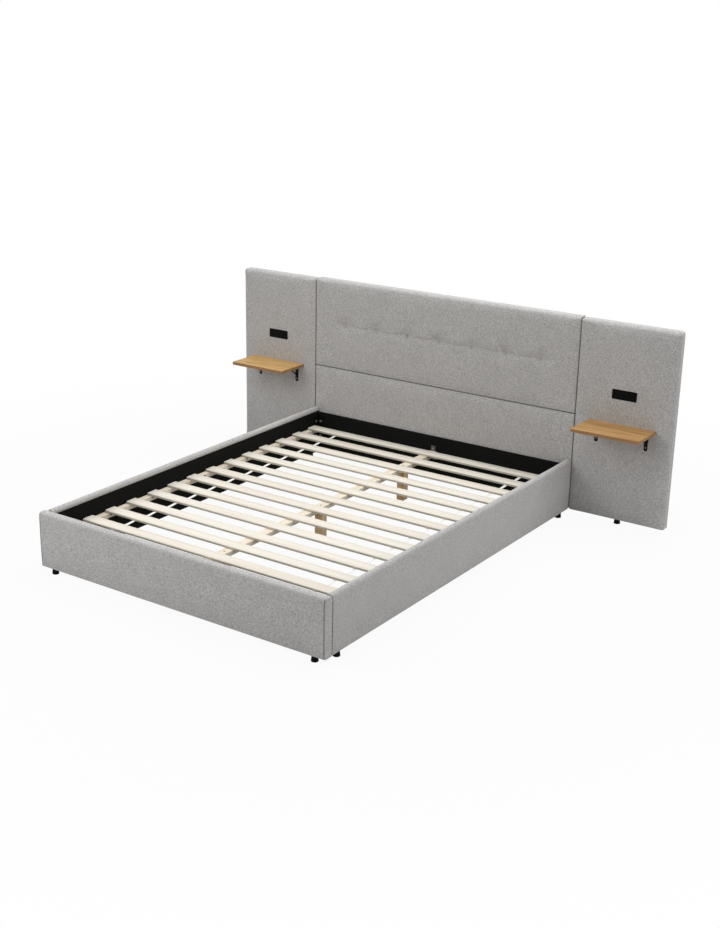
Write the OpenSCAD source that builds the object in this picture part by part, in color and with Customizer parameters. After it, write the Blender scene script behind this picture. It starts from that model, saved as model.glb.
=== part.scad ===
// Upholstered platform bed with a wide four-panel headboard, two floating
// bedside shelves and two sockets. Millimetres, +Z up, head end towards +Y.
// The origin lies on the floor, in the middle of the bed's plan.

/* [Mattress] */
// Width of the mattress that the frame holds
mattress_w = 1372; // [900:1:1900]
// Length of the mattress
mattress_l = 1905; // [1800:1:2150]
// Gap between the mattress and each side rail
side_clearance = 20; // [5:1:40]
// Gap at each end of the mattress
end_clearance = 2.5; // [1:0.5:20]

/* [Rails and footboard] */
// Height of the floor gap under every upholstered panel
glide_h = 28; // [20:1:60]
// Height of the side rails and the footboard, without the floor gap
frame_h = 244; // [220:1:320]
// Overall thickness of a side rail
rail_t = 32; // [30:1:50]
// Thickness of the board inside a side rail
rail_board_t = 18; // [16:1:20]
// Overall thickness of the footboard
footboard_t = 46; // [44:1:70]
// Thickness of the board inside the footboard
footboard_board_t = 30; // [18:1:32]
// Depth of foam and cloth over the top of the boards
top_pad = 13; // [8:1:20]
// Radius of the padded top edges
top_r = 14; // [10:0.5:15]
// Radius of the lower edges
low_r = 4; // [2:0.5:6]
// How far the outer faces bulge at half height
frame_crown = 2; // [0.5:0.5:4]
// How far the cloth turns down the inner faces
turn_down = 20; // [16:1:40]
// Thickness of the cloth turned under the boards
cloth_t = 1.5; // [1:0.1:2]
// Thickness of the black lining on the inner faces
lining_t = 1.5; // [1:0.1:2]
// Margin between the lining and the panel's ends and lower edge
lining_margin = 1.5; // [1.5:0.5:20]

/* [Headboard] */
// Overall thickness of the headboard panels
panel_t = 50; // [46:1:80]
// Thickness of the boards inside the headboard panels
panel_board_t = 30; // [18:1:32]
// Height of the centre panels' top above the floor
centre_top = 945; // [850:1:1300]
// Height of the two wings' top above the floor
wing_top = 940; // [850:1:1300]
// Width of each wing
wing_w = 468; // [420:1:700]
// Height of the seam between the upper and lower centre panels
seam_z = 493; // [400:1:560]
// Gap between neighbouring panels
seam_gap = 3; // [1:0.5:6]
// How far the side seams lie inside the rails' outer faces
seam_inset = 3; // [0:0.5:10]
// Rounding of the panels' front edges
panel_r = 10; // [6:0.5:16]
// How far the panels' fronts bulge in the middle
panel_crown = 3; // [1:0.5:6]
// Foam and cloth around the sides of the panel boards
side_pad = 8; // [5:0.5:14]
// Thickness of the cloth covers on the panels' backs
cover_t = 1; // [0.8:0.1:2]
// Margin of the back covers inside the panels' outline
cover_margin = 5; // [3:1:15]

/* [Tufting] */
// Height of the sewn pull line above the floor
tuft_z = 721; // [600:1:850]
// Number of sewn tufts along the line
tuft_count = 7; // [3:2:9]
// Spacing of the tufts
tuft_pitch = 182; // [120:1:200]
// Depth of a tuft
tuft_depth = 7; // [3:0.5:10]
// Radius of a tuft's dimple
tuft_r = 15; // [8:1:25]
// Depth of the line pulled between the tufts
pull_depth = 4; // [1:0.5:6]
// Half width of that line
pull_half_w = 13; // [6:1:20]
// Length over which the line fades out past the last tuft
pull_fade = 90; // [40:1:120]
// Depth of the upright crease through each tuft
crease_depth = 2; // [0.5:0.5:4]
// Half length of that crease
crease_half_l = 55; // [30:1:80]

/* [Head rail and joining hardware] */
// Thickness of the black rail across the headboard
head_rail_t = 12; // [12:0.5:20]
// Height of the head rail's top above the floor
head_rail_top = 246; // [236:1:262]
// Height of the head rail's lower edge above the floor
head_rail_low = 40; // [30:1:80]
// Gap between the head rail's ends and the side rails
head_rail_gap = 6; // [2:0.5:12]
// Length of a corner bracket's legs
bracket_leg = 34; // [30:1:36]
// Height of a corner bracket
bracket_h = 122; // [100:1:130]
// Height of a corner bracket's lower edge above the floor
bracket_z = 100; // [80:1:110]
// Steel thickness of the corner brackets
bracket_t = 3; // [2:0.5:4]
// Distance of the bracket bolts from the corner
bolt_inset = 21; // [18:0.5:24]
// Distance of the bracket bolts from the bracket's ends
bolt_end = 22; // [15:1:35]
// Diameter of the bolts
bolt_d = 6; // [5:0.5:6]
// Length of the bracket bolts under the head
bolt_l = 13.5; // [12.5:0.5:14.5]
// Diameter of the bolt heads
bolt_head_d = 12; // [10:0.5:13]
// Height of the bolt heads
bolt_head_h = 3.5; // [2.5:0.5:4]
// Number of bolts that hold the head rail to the lower panel
head_bolt_count = 6; // [4:1:8]
// Height of those bolts above the floor
head_bolt_z = 80; // [70:1:120]
// Depth of those bolts in the lower panel's board
head_bolt_bite = 20; // [15:1:28]
// Clearance of a hole around its bolt or screw, on the diameter
hole_clear = 0.4; // [0.2:0.1:0.8]
// Length of the steel plates that join the panels at the back
plate_l = 110; // [90:1:160]
// Width of those plates
plate_w = 38; // [30:1:50]
// Steel thickness of those plates
plate_t = 3; // [2:0.5:4]
// Length of the joining screws under the head
join_screw_l = 20; // [16:1:30]
// Distance of the outer joining screws from the plates' ends
plate_screw_end = 12; // [8:0.5:16]
// Distance between the two screws at each end of a plate
plate_screw_pitch = 22; // [14:1:26]
// How far the lowest side plates lie below the middle seam
plate_drop = 200; // [100:5:260]
// How far the middle side plates lie above the middle seam
plate_rise = 90; // [70:5:100]
// How far the upper side plates lie above the middle seam
plate_rise_high = 330; // [200:5:340]

/* [Slats] */
// Height of the slats' undersides above the floor
seat_z = 171; // [165:1:180]
// Number of slats
slat_count = 14; // [10:1:14]
// Width of a slat
slat_w = 60; // [50:1:70]
// Thickness of a slat
slat_t = 12; // [9:0.5:18]
// Gap between a slat's ends and the rails
slat_end_gap = 3; // [1:0.5:10]
// Gap between the outer slats and the footboard or head rail
slat_first_gap = 36; // [36:1:60]
// Rounding of the slats' long edges
slat_r = 2.5; // [1:0.5:4]
// Distance of the ribbons from the bed's middle
ribbon_x = 530; // [300:1:600]
// Width of a ribbon
ribbon_w = 17; // [10:1:25]
// Thickness of a ribbon
ribbon_t = 1; // [0.8:0.1:2]

/* [Ledgers and centre beam] */
// Width of the ledgers along the rails
ledger_w = 30; // [20:1:40]
// Height of the ledgers
ledger_h = 20; // [16:1:30]
// Distances of the front ledger screws from the ledger's middle
ledger_screws_front = [-870, -634, -361, 3]; // [-900:1:900]
// Distances of the rear ledger screws from the ledger's middle
ledger_screws_rear = [323, 596, 871]; // [-900:1:900]
// Drop of those screws below the slats' undersides
ledger_screw_drop = 6.5; // [5:0.5:12]
// Gap between a ledger's ends and the corner brackets
ledger_gap = 2; // [1:0.5:10]
// Width of the centre beam
beam_w = 44; // [40:1:60]
// Height of the centre beam
beam_h = 20; // [18:1:30]
// Side of the square legs under the beam
leg_w = 38; // [30:1:44]
// Distance of the outer legs from the beam's ends
leg_inset = 279; // [150:1:500]
// Length under the head of the screws that hold the legs to the beam
leg_screw_l = 60; // [40:5:90]
// Steel thickness of the beam hangers
hanger_t = 2; // [1.5:0.5:3]
// Length of the hangers' cheeks along the beam
hanger_l = 30; // [20:1:34]
// Height of the hanger plate above the slats' undersides
hanger_up = 28; // [20:1:30]
// Width of that upper tab
hanger_tab = 26; // [20:1:40]
// Height of the hanger plate below its seat
hanger_down = 18; // [16:1:24]
// Gap around the beam in its hangers
beam_clear = 0.3; // [0.2:0.1:1]
// Diameter of the wood screws
screw_d = 4; // [3:0.5:4.5]
// Diameter of their heads
screw_head_d = 8; // [7:0.5:9]
// Height of their heads
screw_head_h = 2.2; // [1.5:0.1:3]
// Depth of the ledger screws in the rails' boards
ledger_bite = 12; // [8:1:14]
// Length of the hanger screws under the head
hanger_screw_l = 11; // [9:0.5:12.5]

/* [Bedside shelves] */
// Width of a shelf
shelf_w = 324; // [280:1:400]
// Depth of a shelf from the headboard
shelf_d = 188; // [180:1:300]
// Thickness of a shelf
shelf_t = 16; // [13:0.5:25]
// Height of the shelves' tops above the floor
shelf_z = 485; // [400:1:560]
// Radius of the shelves' corners
shelf_r = 3; // [1:0.5:10]
// Distance between a shelf's two brackets
shelf_bracket_pitch = 240; // [180:1:260]
// Width of the shelf brackets' steel
strap_w = 18; // [16:1:26]
// Thickness of that steel
strap_t = 3; // [2:0.5:5]
// Height of a shelf bracket's upright
strap_drop = 84; // [80:1:110]
// Length of a shelf bracket's arm
strap_reach = 160; // [140:1:175]
// How far out the diagonal stay meets the arm
stay_out = 62; // [50:1:80]
// How far down the diagonal stay meets the upright
stay_down = 48; // [40:1:50]
// Width of the diagonal stay
stay_w = 11; // [8:1:16]
// Distance of the lower wing screws above an upright's foot
wing_screw_rise = 16; // [9:1:20]
// Distance of the upper wing screws below the shelf
wing_screw_drop = 16; // [12:1:24]
// Distance of the inner arm screws beyond the diagonal stay
arm_screw_gap = 22; // [12:1:30]
// Distance of the outer arm screws from the arms' ends
arm_screw_end = 14; // [9:1:20]
// Gap between a shelf and the headboard's cloth
shelf_gap = 0.3; // [0.1:0.1:2]
// Length of the screws in the wings, under the head
wing_screw_l = 40; // [34:1:46]
// Length of the screws in the shelves, under the head
shelf_screw_l = 14; // [10:0.5:15]

/* [Sockets] */
// Width of a socket's face
socket_w = 118; // [110:1:150]
// Height of a socket's face
socket_h = 45; // [42:1:70]
// Height of the sockets' middle above the floor
socket_z = 622; // [560:1:700]
// Thickness of the face
face_t = 3; // [2.5:0.5:5]
// Corner radius of the face
face_r = 3; // [2:0.5:6]
// Rim of the face around its box
face_rim = 4; // [3:0.5:8]
// Depth of the box in the panel
box_depth = 40; // [34:1:44]
// Wall of the box
box_wall = 2; // [1.5:0.5:3]
// Clearance of the box in its cut-out, on each side
box_clear = 0.3; // [0.2:0.1:1]
// Distance of the two outlets from the face's middle
outlet_x = 35; // [32:1:38]
// Distance between the two blade slots of an outlet
blade_pitch = 12.7; // [12:0.1:13]
// Width of a blade slot
blade_w = 2.2; // [1.8:0.1:2.6]
// Height of a blade slot
blade_h = 7.5; // [7:0.1:9]
// Height of the blade slots' middle above an outlet's middle
blade_up = 4.25; // [3.5:0.05:5]
// Diameter of the earth pin's hole
earth_d = 5.2; // [4.8:0.1:5.6]
// Distance of the earth pin's hole below an outlet's middle
earth_down = 8; // [7:0.1:9]
// Width of the contact block behind an outlet
contact_w = 24; // [20:1:28]
// Material left behind an outlet's slots in that block
contact_floor = 4; // [2:0.5:6]
// Width of the charging ports
port_w = 12.5; // [12:0.5:14]
// Height of the charging ports
port_h = 5; // [4.8:0.1:6]
// Distance of the charging ports above and below the face's middle
port_z = 8; // [7:0.5:11]
// Wall of the charging ports' shells
port_wall = 0.8; // [0.5:0.1:1.2]
// Depth of the charging ports behind the face
port_depth = 13; // [12:0.5:13]
// Thickness of the circuit board
circuit_t = 1.6; // [1:0.1:2]
// Depth of the circuit board behind the headboard's front
circuit_y = 16; // [14:0.5:20]
// Outer diameter of the cable inlet at the back
gland_d = 16; // [12:1:20]
// Bore of the cable inlet
gland_bore = 7; // [6:0.5:9]

/* [Glides] */
// Diameter of a glide's foot
glide_d = 30; // [26:1:32]
// Diameter of a glide's top
glide_top_d = 24; // [20:1:26]
// Distance of the glides from the rails' ends
glide_inset = 60; // [40:1:200]
// Distance of the footboard's glides from its ends
foot_glide_inset = 60; // [40:1:200]
// Distance of the footboard's glides from its front
foot_glide_y = 22; // [20:1:32]
// Radius of the foot's lower edge
glide_r = 3; // [1:0.5:5]
// Diameter of the studs
stud_d = 8; // [6:1:9]
// Length of a stud in its board
stud_bite = 24; // [15:1:35]
// Depth of a stud in its glide
stud_grip = 14; // [10:1:18]

/* [Hidden] */
$fn = 48;
edge_n = 3; // rows of faces on a panel's rounded edge
slit = 0.01;

inner_w = mattress_w + 2 * side_clearance;
inner_l = mattress_l + 2 * end_clearance;
bed_w = inner_w + 2 * rail_t;
head_face = footboard_t + inner_l + head_rail_t; // footboard's front to headboard's front
depth = head_face + panel_t + plate_t + screw_head_h;

y_foot = -depth / 2;
y_inner = y_foot + footboard_t;
y_head = y_foot + head_face;
y_rail = y_head - head_rail_t; // front of the head rail
y_mid = (y_inner + y_rail) / 2;
y_board = y_head + panel_t - cover_t - panel_board_t; // front of the panel boards
y_cover = y_head + panel_t - cover_t;
y_back = y_head + panel_t;

rail_top = glide_h + frame_h;
board_top = rail_top - top_pad;
seam_x = bed_w / 2 - seam_inset;
centre_w = 2 * seam_x - seam_gap;
wing_x = seam_x + seam_gap / 2 + wing_w / 2; // middle of a wing
lower_top = seam_z - seam_gap / 2;
upper_low = seam_z + seam_gap / 2;
tuft_last = (tuft_count - 1) / 2;

slat_pitch = (inner_l - 2 * slat_first_gap - slat_w) / (slat_count - 1);
beam_l = inner_l - 2 * (hanger_t + beam_clear);
leg_h = seat_z - beam_h;
leg_ys = [y_inner + leg_inset, y_mid, y_rail - leg_inset];

box_w = socket_w - 2 * face_rim;
box_h = socket_h - 2 * face_rim;
strap_top = shelf_z - shelf_t; // top of the arms, under the shelf
strap_low = strap_top - strap_drop;
strap_screw_zs = [strap_low + wing_screw_rise, strap_top - wing_screw_drop];
arm_screw_ys = [stay_out + arm_screw_gap, strap_reach - arm_screw_end];

wood = "#e8dcc4";
board_wood = "#c9a878";
oak = "#c39a62";
linen = "#a7a4a0";
black_cloth = "#1b1a19";
black_steel = "#1d1d1d";
zinc = "#b9bcbe";
black_plastic = "#161616";

function slat_name(i) = str("slat_", i < 10 ? "0" : "", i);

// ---------- shared shapes ----------

// Box from its lowest to its highest corner
module block(low, high) {
    translate(low) cube(high - low);
}

// Rectangle with round corners, lowest corner at the origin
module round_rect(w, h, r) {
    translate([r, 0]) square([w - 2 * r, h]);
    translate([0, r]) square([w, h - 2 * r]);
    for (x = [r, w - r], y = [r, h - r]) translate([x, y]) circle(r);
}

// Screw or bolt along +X from the origin, its head on the -X side
module fastener(d, l, head_d, head_h) {
    rotate([0, 90, 0]) cylinder(d = d, h = l);
    difference() {
        rotate([0, -90, 0]) cylinder(d = head_d, h = head_h);
        translate([-head_h, 0, 0]) rotate([0, 90, 0]) cylinder(d = head_d / 2.4, h = head_h / 2, $fn = 6);
    }
}

module bolt() color(black_steel) fastener(bolt_d, bolt_l, bolt_head_d, bolt_head_h);

module wood_screw(l) color(zinc) fastener(screw_d, l, screw_head_d, screw_head_h);

// Hole along +X for a bolt or a screw
module hole(d, l) {
    rotate([0, 90, 0]) cylinder(d = d + hole_clear, h = l);
}

// ---------- places ----------

// Right inner foot corner, mirrored to the other three; walls lie at +X and -Y
module at_corners() {
    for (side = [0, 1]) mirror([side, 0, 0]) {
        translate([inner_w / 2, y_inner, 0]) children();
        translate([inner_w / 2, y_rail, 0]) mirror([0, 1, 0]) children();
    }
}

// Bolts of a bracket's two legs, pointing into the walls
module at_bracket_bolts(start) {
    for (z = [bracket_z + bolt_end, bracket_z + bracket_h - bolt_end]) {
        translate([-start, bolt_inset, z]) children();
        translate([-bolt_inset, start, z]) rotate([0, 0, -90]) children();
    }
}

module at_head_bolts(y) {
    step = (inner_w - 2 * glide_inset) / (head_bolt_count - 1);
    for (i = [0:head_bolt_count - 1])
        translate([-inner_w / 2 + glide_inset + i * step, y, head_bolt_z]) rotate([0, 0, 90]) children();
}

// Ledger screws point at the right rail
module at_ledger_screws(x) {
    for (y = concat(ledger_screws_front, ledger_screws_rear))
        translate([x, y_mid + y, seat_z - ledger_screw_drop]) children();
}

// Hanger screws point at the footboard, mirrored to the head rail
module at_hanger_screws() {
    for (z = [seat_z + hanger_up / 2, seat_z - beam_h - hanger_t - hanger_down / 2])
        for (end = [-1, 1]) {
            y = end < 0 ? y_inner + hanger_t : y_rail - hanger_t;
            translate([0, y, z]) rotate([0, 0, end * 90]) children();
        }
}

// Leg screws point down from the beam's top
module at_leg_screws() {
    for (y = leg_ys) translate([0, y, seat_z]) rotate([0, 90, 0]) children();
}

module at_glides() {
    for (side = [-1, 1]) {
        translate([side * (bed_w / 2 - foot_glide_inset), y_foot + foot_glide_y, 0]) children();
        for (y = [y_inner + glide_inset, y_head - glide_inset])
            translate([side * (inner_w / 2 + lining_t + rail_board_t / 2), y, 0]) children();
        translate([side * wing_x, y_board + panel_board_t / 2, 0]) children();
    }
}

// The brackets of both shelves, at the headboard's front under the shelf
module at_straps(side) {
    for (i = [-1, 1]) translate([side * wing_x + i * shelf_bracket_pitch / 2, y_head, 0]) children();
}

// The four seams' joining plates, as [x, z, turned]
plate_places = concat(
    [for (x = [-seam_x, seam_x], z = [seam_z - plate_drop, seam_z + plate_rise, seam_z + plate_rise_high])
        [x, z, 0]],
    [for (x = [-centre_w / 3, 0, centre_w / 3]) [x, seam_z, 90]]);

module at_plates() {
    for (p = plate_places) translate([p[0], y_back, p[1]]) rotate([0, p[2], 0]) children();
}

module at_join_screws() {
    outer = plate_l / 2 - plate_screw_end;
    inner = outer - plate_screw_pitch;
    at_plates() for (x = [-outer, -inner, inner, outer])
        translate([x, plate_t, 0]) rotate([0, 0, -90]) children();
}

module stud_holes() {
    at_glides() cylinder(d = stud_d + hole_clear, h = glide_h + cloth_t + stud_bite);
}

// ---------- rails and footboard ----------

// Padded section: inner face at x = 0, outer face bulging to x = t
module padded_section(t) {
    rows = 12;
    intersection() {
        union() {
            translate([0, low_r]) square([t, frame_h - low_r - top_r]);
            translate([low_r, 0]) square([t - 2 * low_r, low_r + slit]);
            translate([top_r, frame_h - top_r - slit]) square([t - 2 * top_r, top_r + slit]);
            for (x = [low_r, t - low_r]) translate([x, low_r]) circle(low_r);
            for (x = [top_r, t - top_r]) translate([x, frame_h - top_r]) circle(top_r);
        }
        polygon(concat([[0, 0]],
            [for (i = [0:rows]) [t - frame_crown * pow(2 * i / rows - 1, 2), frame_h * i / rows]],
            [[0, frame_h]]));
    }
}

// Section of the space that board and lining take out of the padding
module board_section(board_t) {
    translate([lining_t, cloth_t]) square([board_t, frame_h - top_pad - cloth_t]);
    translate([-1, lining_margin]) square([lining_t + 1 + slit, frame_h - turn_down - lining_margin]);
}

// The right side rail; the left one is its mirror image
module rail_upholstery() {
    color(linen) difference() {
        translate([inner_w / 2, y_head, glide_h]) rotate([90, 0, 0])
            linear_extrude(y_head - y_inner) difference() {
                padded_section(rail_t);
                board_section(rail_board_t);
            }
        stud_holes();
    }
}

module rail_board() {
    x = inner_w / 2 + lining_t;
    color(board_wood) difference() {
        block([x, y_inner, glide_h + cloth_t], [x + rail_board_t, y_head, board_top]);
        at_corners() at_bracket_bolts(bracket_t) hole(bolt_d, bolt_l);
        at_ledger_screws(inner_w / 2 - slit) hole(screw_d, lining_t + ledger_bite);
        stud_holes();
    }
}

module rail_lining() {
    color(black_cloth) difference() {
        block([inner_w / 2, y_inner, glide_h + lining_margin],
              [inner_w / 2 + lining_t, y_head, rail_top - turn_down]);
        at_corners() at_bracket_bolts(bracket_t) hole(bolt_d, bolt_l);
        at_ledger_screws(inner_w / 2 - slit) hole(screw_d, lining_t + ledger_bite);
    }
}

module footboard_upholstery() {
    pocket_w = bed_w - 2 * side_pad;
    color(linen) difference() {
        intersection() {
            translate([bed_w / 2, y_inner, glide_h]) rotate([90, 0, -90])
                linear_extrude(bed_w) padded_section(footboard_t);
            translate([-bed_w / 2, y_foot, 0]) linear_extrude(rail_top + 1) union() {
                round_rect(bed_w, footboard_t, low_r);
            }
            translate([-bed_w / 2, y_inner + 1, glide_h]) rotate([90, 0, 0])
                linear_extrude(footboard_t + 2) round_rect(bed_w, frame_h, low_r);
        }
        block([-pocket_w / 2, y_inner - lining_t - footboard_board_t, glide_h + cloth_t],
              [pocket_w / 2, y_inner - lining_t, board_top]);
        block([-pocket_w / 2, y_inner - lining_t - slit, glide_h + lining_margin],
              [pocket_w / 2, y_inner + 1, rail_top - turn_down]);
        stud_holes();
    }
}

module footboard_board() {
    w = bed_w - 2 * side_pad;
    y = y_inner - lining_t;
    color(board_wood) difference() {
        block([-w / 2, y - footboard_board_t, glide_h + cloth_t], [w / 2, y, board_top]);
        at_corners() at_bracket_bolts(bracket_t) hole(bolt_d, bolt_l);
        at_hanger_screws() hole(screw_d, hanger_screw_l);
        stud_holes();
    }
}

module footboard_lining() {
    w = bed_w - 2 * side_pad;
    color(black_cloth) difference() {
        block([-w / 2, y_inner - lining_t, glide_h + lining_margin], [w / 2, y_inner, rail_top - turn_down]);
        at_corners() at_bracket_bolts(bracket_t) hole(bolt_d, bolt_l);
        at_hanger_screws() hole(screw_d, hanger_screw_l);
    }
}

// ---------- headboard ----------

// Share of full thickness at a distance u along a side of the given length
function edge_round(u, len) = let (d = min(u, len - u)) d >= panel_r ? 1 : sqrt(1 - pow(1 - d / panel_r, 2));
function swell(u, len) = 1 - pow(abs(2 * u / len - 1), 4);

// Depth of the tufting at x from the panel's middle and z from the pull line
function nearest_tuft(x) = tuft_pitch * min(max(round(x / tuft_pitch), -tuft_last), tuft_last);
function line_share(x) = 1 - min(max(abs(x) - tuft_last * tuft_pitch, 0) / pull_fade, 1);
function tuft_dip(x, z) = let (dx = x - nearest_tuft(x))
    pull_depth * line_share(x) * exp(-pow(z / pull_half_w, 2))
    + tuft_depth * exp(-(dx * dx + z * z) / (tuft_r * tuft_r))
    + crease_depth * exp(-pow(dx / pull_half_w, 2)) * exp(-pow(z / crease_half_l, 2));

// Grid lines: fine on the rounded edges, with the given lines between them
function grid_lines(len, inner) = concat(
    [for (i = [0:edge_n]) panel_r * (1 - cos(90 * i / edge_n))],
    inner,
    [for (i = [edge_n:-1:0]) len - panel_r * (1 - cos(90 * i / edge_n))]);
function even_lines(from, to, n) = [for (i = [1:n]) from + (to - from) * i / (n + 1)];

// Closed padded form on the plane y = 0, its front towards -Y, lower edge at z = 0
module pad_form(w, h, us, vs, line_v = undef) {
    nu = len(us);
    nv = len(vs);
    flat = panel_t - cover_t - panel_crown - panel_r;
    front = [for (v = vs) for (u = us) [u - w / 2,
        -(flat + panel_r * edge_round(u, w) * edge_round(v, h) + panel_crown * swell(u, w) * swell(v, h)
          - (is_undef(line_v) ? 0 : tuft_dip(u - w / 2, v - line_v))), v]];
    rim = concat([for (j = [0:nv - 2]) j * nu], [for (i = [0:nu - 2]) (nv - 1) * nu + i],
                 [for (j = [nv - 1:-1:1]) j * nu + nu - 1], [for (i = [nu - 1:-1:1]) i]);
    n = len(rim);
    back = nu * nv;
    centre = back + n;
    points = concat(front, [for (k = rim) [front[k][0], 0, front[k][2]]], [[0, 0, h / 2]]);
    quads = [for (j = [0:nv - 2]) for (i = [0:nu - 2]) let (a = j * nu + i) [a, a + nu, a + nu + 1, a + 1]];
    sides = [for (k = [0:n - 1]) let (m = (k + 1) % n) [rim[k], back + k, back + m, rim[m]]];
    polyhedron(points, concat(
        [for (q = concat(quads, sides)) [q[0], q[1], q[2]]],
        [for (q = concat(quads, sides)) [q[0], q[2], q[3]]],
        [for (k = [0:n - 1]) [centre, back + (k + 1) % n, back + k]]));
}

// Space that a panel's board takes at the back of its padding
module board_space(w, h) {
    block([-w / 2 + side_pad, -panel_board_t, side_pad], [w / 2 - side_pad, 1, h - side_pad]);
}

module plain_pad(x, low, w, h) {
    translate([x, y_cover, low]) difference() {
        pad_form(w, h, grid_lines(w, even_lines(0, w, 5)), grid_lines(h, even_lines(0, h, 7)));
        board_space(w, h);
    }
}

module panel_board(x, low, w, h) {
    half = w / 2 - side_pad;
    block([x - half, y_board, low + side_pad], [x + half, y_cover, low + h - side_pad]);
}

module upper_panel_pad() {
    h = centre_top - upper_low;
    line_v = tuft_z - upper_low;
    end_u = tuft_last * tuft_pitch + pull_fade;
    us = concat(
        [-end_u, -end_u + pull_fade / 3],
        [for (k = [-tuft_last:tuft_last])
            for (o = [-2.4, -1, 0, 1, 2.4, k < tuft_last ? tuft_pitch / 2 / tuft_r : 2.8])
                k * tuft_pitch + o * tuft_r],
        [end_u - pull_fade / 3, end_u]);
    rows = [for (o = [-5, -2.4, -1, 0, 1, 2.4, 5]) line_v + o * pull_half_w];
    color(linen) translate([0, y_cover, upper_low]) difference() {
        pad_form(centre_w, h, grid_lines(centre_w, [for (u = us) u + centre_w / 2]),
                 grid_lines(h, concat(even_lines(0, rows[0], 2), rows, even_lines(rows[6], h, 2))), line_v);
        board_space(centre_w, h);
    }
}

module lower_panel_pad() {
    color(linen) difference() {
        plain_pad(0, glide_h, centre_w, lower_top - glide_h);
        at_head_bolts(y_head - slit) hole(bolt_d, panel_t - cover_t - panel_board_t + 2 * slit);
    }
}

module wing_pad(side) {
    color(linen) difference() {
        plain_pad(side * wing_x, glide_h, wing_w, wing_top - glide_h);
        socket_space(side);
        at_straps(side) at_wing_screws(-slit) hole(screw_d, wing_screw_l);
        stud_holes();
    }
}

module upper_panel_board() {
    color(board_wood) difference() {
        panel_board(0, upper_low, centre_w, centre_top - upper_low);
        at_join_screws() hole(screw_d, join_screw_l);
    }
}

module lower_panel_board() {
    color(board_wood) difference() {
        panel_board(0, glide_h, centre_w, lower_top - glide_h);
        at_join_screws() hole(screw_d, join_screw_l);
        at_head_bolts(y_rail) hole(bolt_d, head_bolt_l);
    }
}

module wing_board(side) {
    color(board_wood) difference() {
        panel_board(side * wing_x, glide_h, wing_w, wing_top - glide_h);
        socket_space(side);
        at_join_screws() hole(screw_d, join_screw_l);
        at_straps(side) at_wing_screws(-slit) hole(screw_d, wing_screw_l);
        stud_holes();
    }
}

module back_cover(x, low, w, top) {
    block([x - w / 2 + cover_margin, y_cover, low + cover_margin],
          [x + w / 2 - cover_margin, y_back, top - cover_margin]);
}

module back_covers() {
    color(black_cloth) difference() {
        union() {
            back_cover(0, upper_low, centre_w, centre_top);
            back_cover(0, glide_h, centre_w, lower_top);
            for (side = [-1, 1]) back_cover(side * wing_x, glide_h, wing_w, wing_top);
        }
        at_join_screws() hole(screw_d, join_screw_l);
        for (side = [-1, 1]) translate([side * wing_x, y_cover - 1, socket_z])
            rotate([-90, 0, 0]) cylinder(d = gland_d + 2 * box_clear, h = panel_t);
    }
}

// ---------- head rail and hardware ----------

head_bolt_l = head_rail_t + (y_board - y_head) + head_bolt_bite;

module head_rail() {
    half = inner_w / 2 - head_rail_gap;
    color(black_cloth) difference() {
        block([-half, y_rail, head_rail_low], [half, y_head, head_rail_top]);
        at_corners() at_bracket_bolts(bracket_t) hole(bolt_d, bolt_l);
        at_head_bolts(y_rail - 1) hole(bolt_d, head_rail_t + 2);
        at_hanger_screws() hole(screw_d, hanger_screw_l);
    }
}

module head_rail_bolts() {
    color(black_steel) at_head_bolts(y_rail) fastener(bolt_d, head_bolt_l, bolt_head_d, bolt_head_h);
}

module corner_brackets() {
    color(black_steel) at_corners() difference() {
        union() {
            block([-bracket_t, 0, bracket_z], [0, bracket_leg, bracket_z + bracket_h]);
            block([-bracket_leg, 0, bracket_z], [0, bracket_t, bracket_z + bracket_h]);
        }
        at_bracket_bolts(bracket_t + 1) hole(bolt_d, bracket_t + 2);
    }
}

module corner_bolts() {
    at_corners() at_bracket_bolts(bracket_t) bolt();
}

module joining_plates() {
    color(zinc) difference() {
        at_plates() translate([-plate_l / 2, plate_t, -plate_w / 2]) rotate([90, 0, 0])
            linear_extrude(plate_t) round_rect(plate_l, plate_w, low_r);
        at_join_screws() translate([-1, 0, 0]) hole(screw_d, plate_t + 2);
    }
}

module joining_screws() {
    at_join_screws() wood_screw(join_screw_l);
}

// ---------- slats, ledgers and beam ----------

function slat_y(i) = y_inner + slat_first_gap + slat_w / 2 + (i - 1) * slat_pitch;

module slat(i) {
    l = inner_w - 2 * slat_end_gap;
    color(wood) translate([-l / 2, slat_y(i) - slat_w / 2, seat_z])
        rotate([90, 0, 90]) linear_extrude(l) round_rect(slat_w, slat_t, slat_r);
}

module slat_ribbons() {
    color("white") for (side = [-1, 1])
        block([side * ribbon_x - ribbon_w / 2, slat_y(1) - slat_w / 2, seat_z - ribbon_t],
              [side * ribbon_x + ribbon_w / 2, slat_y(slat_count) + slat_w / 2, seat_z]);
}

// The right ledger; the left one is its mirror image
module ledger() {
    gap = bracket_leg + ledger_gap;
    color(wood) difference() {
        block([inner_w / 2 - ledger_w, y_inner + gap, seat_z - ledger_h],
            [inner_w / 2, y_rail - gap, seat_z]);
        at_ledger_screws(inner_w / 2 - ledger_w - 1) hole(screw_d, ledger_w + 2);
        at_ledger_screws(inner_w / 2 - ledger_w - 1) rotate([0, 90, 0])
            cylinder(d = screw_head_d + hole_clear, h = screw_head_h + 1);
    }
}

module ledger_screws() {
    for (side = [0, 1]) mirror([side, 0, 0])
        at_ledger_screws(inner_w / 2 - ledger_w + screw_head_h)
            wood_screw(ledger_w - screw_head_h + lining_t + ledger_bite);
}

module centre_beam() {
    color(wood) difference() {
        block([-beam_w / 2, y_mid - beam_l / 2, seat_z - beam_h], [beam_w / 2, y_mid + beam_l / 2, seat_z]);
        at_leg_screws() translate([-1, 0, 0]) {
            hole(screw_d, beam_h + 2);
            hole(screw_head_d, screw_head_h + 1);
        }
    }
}

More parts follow.
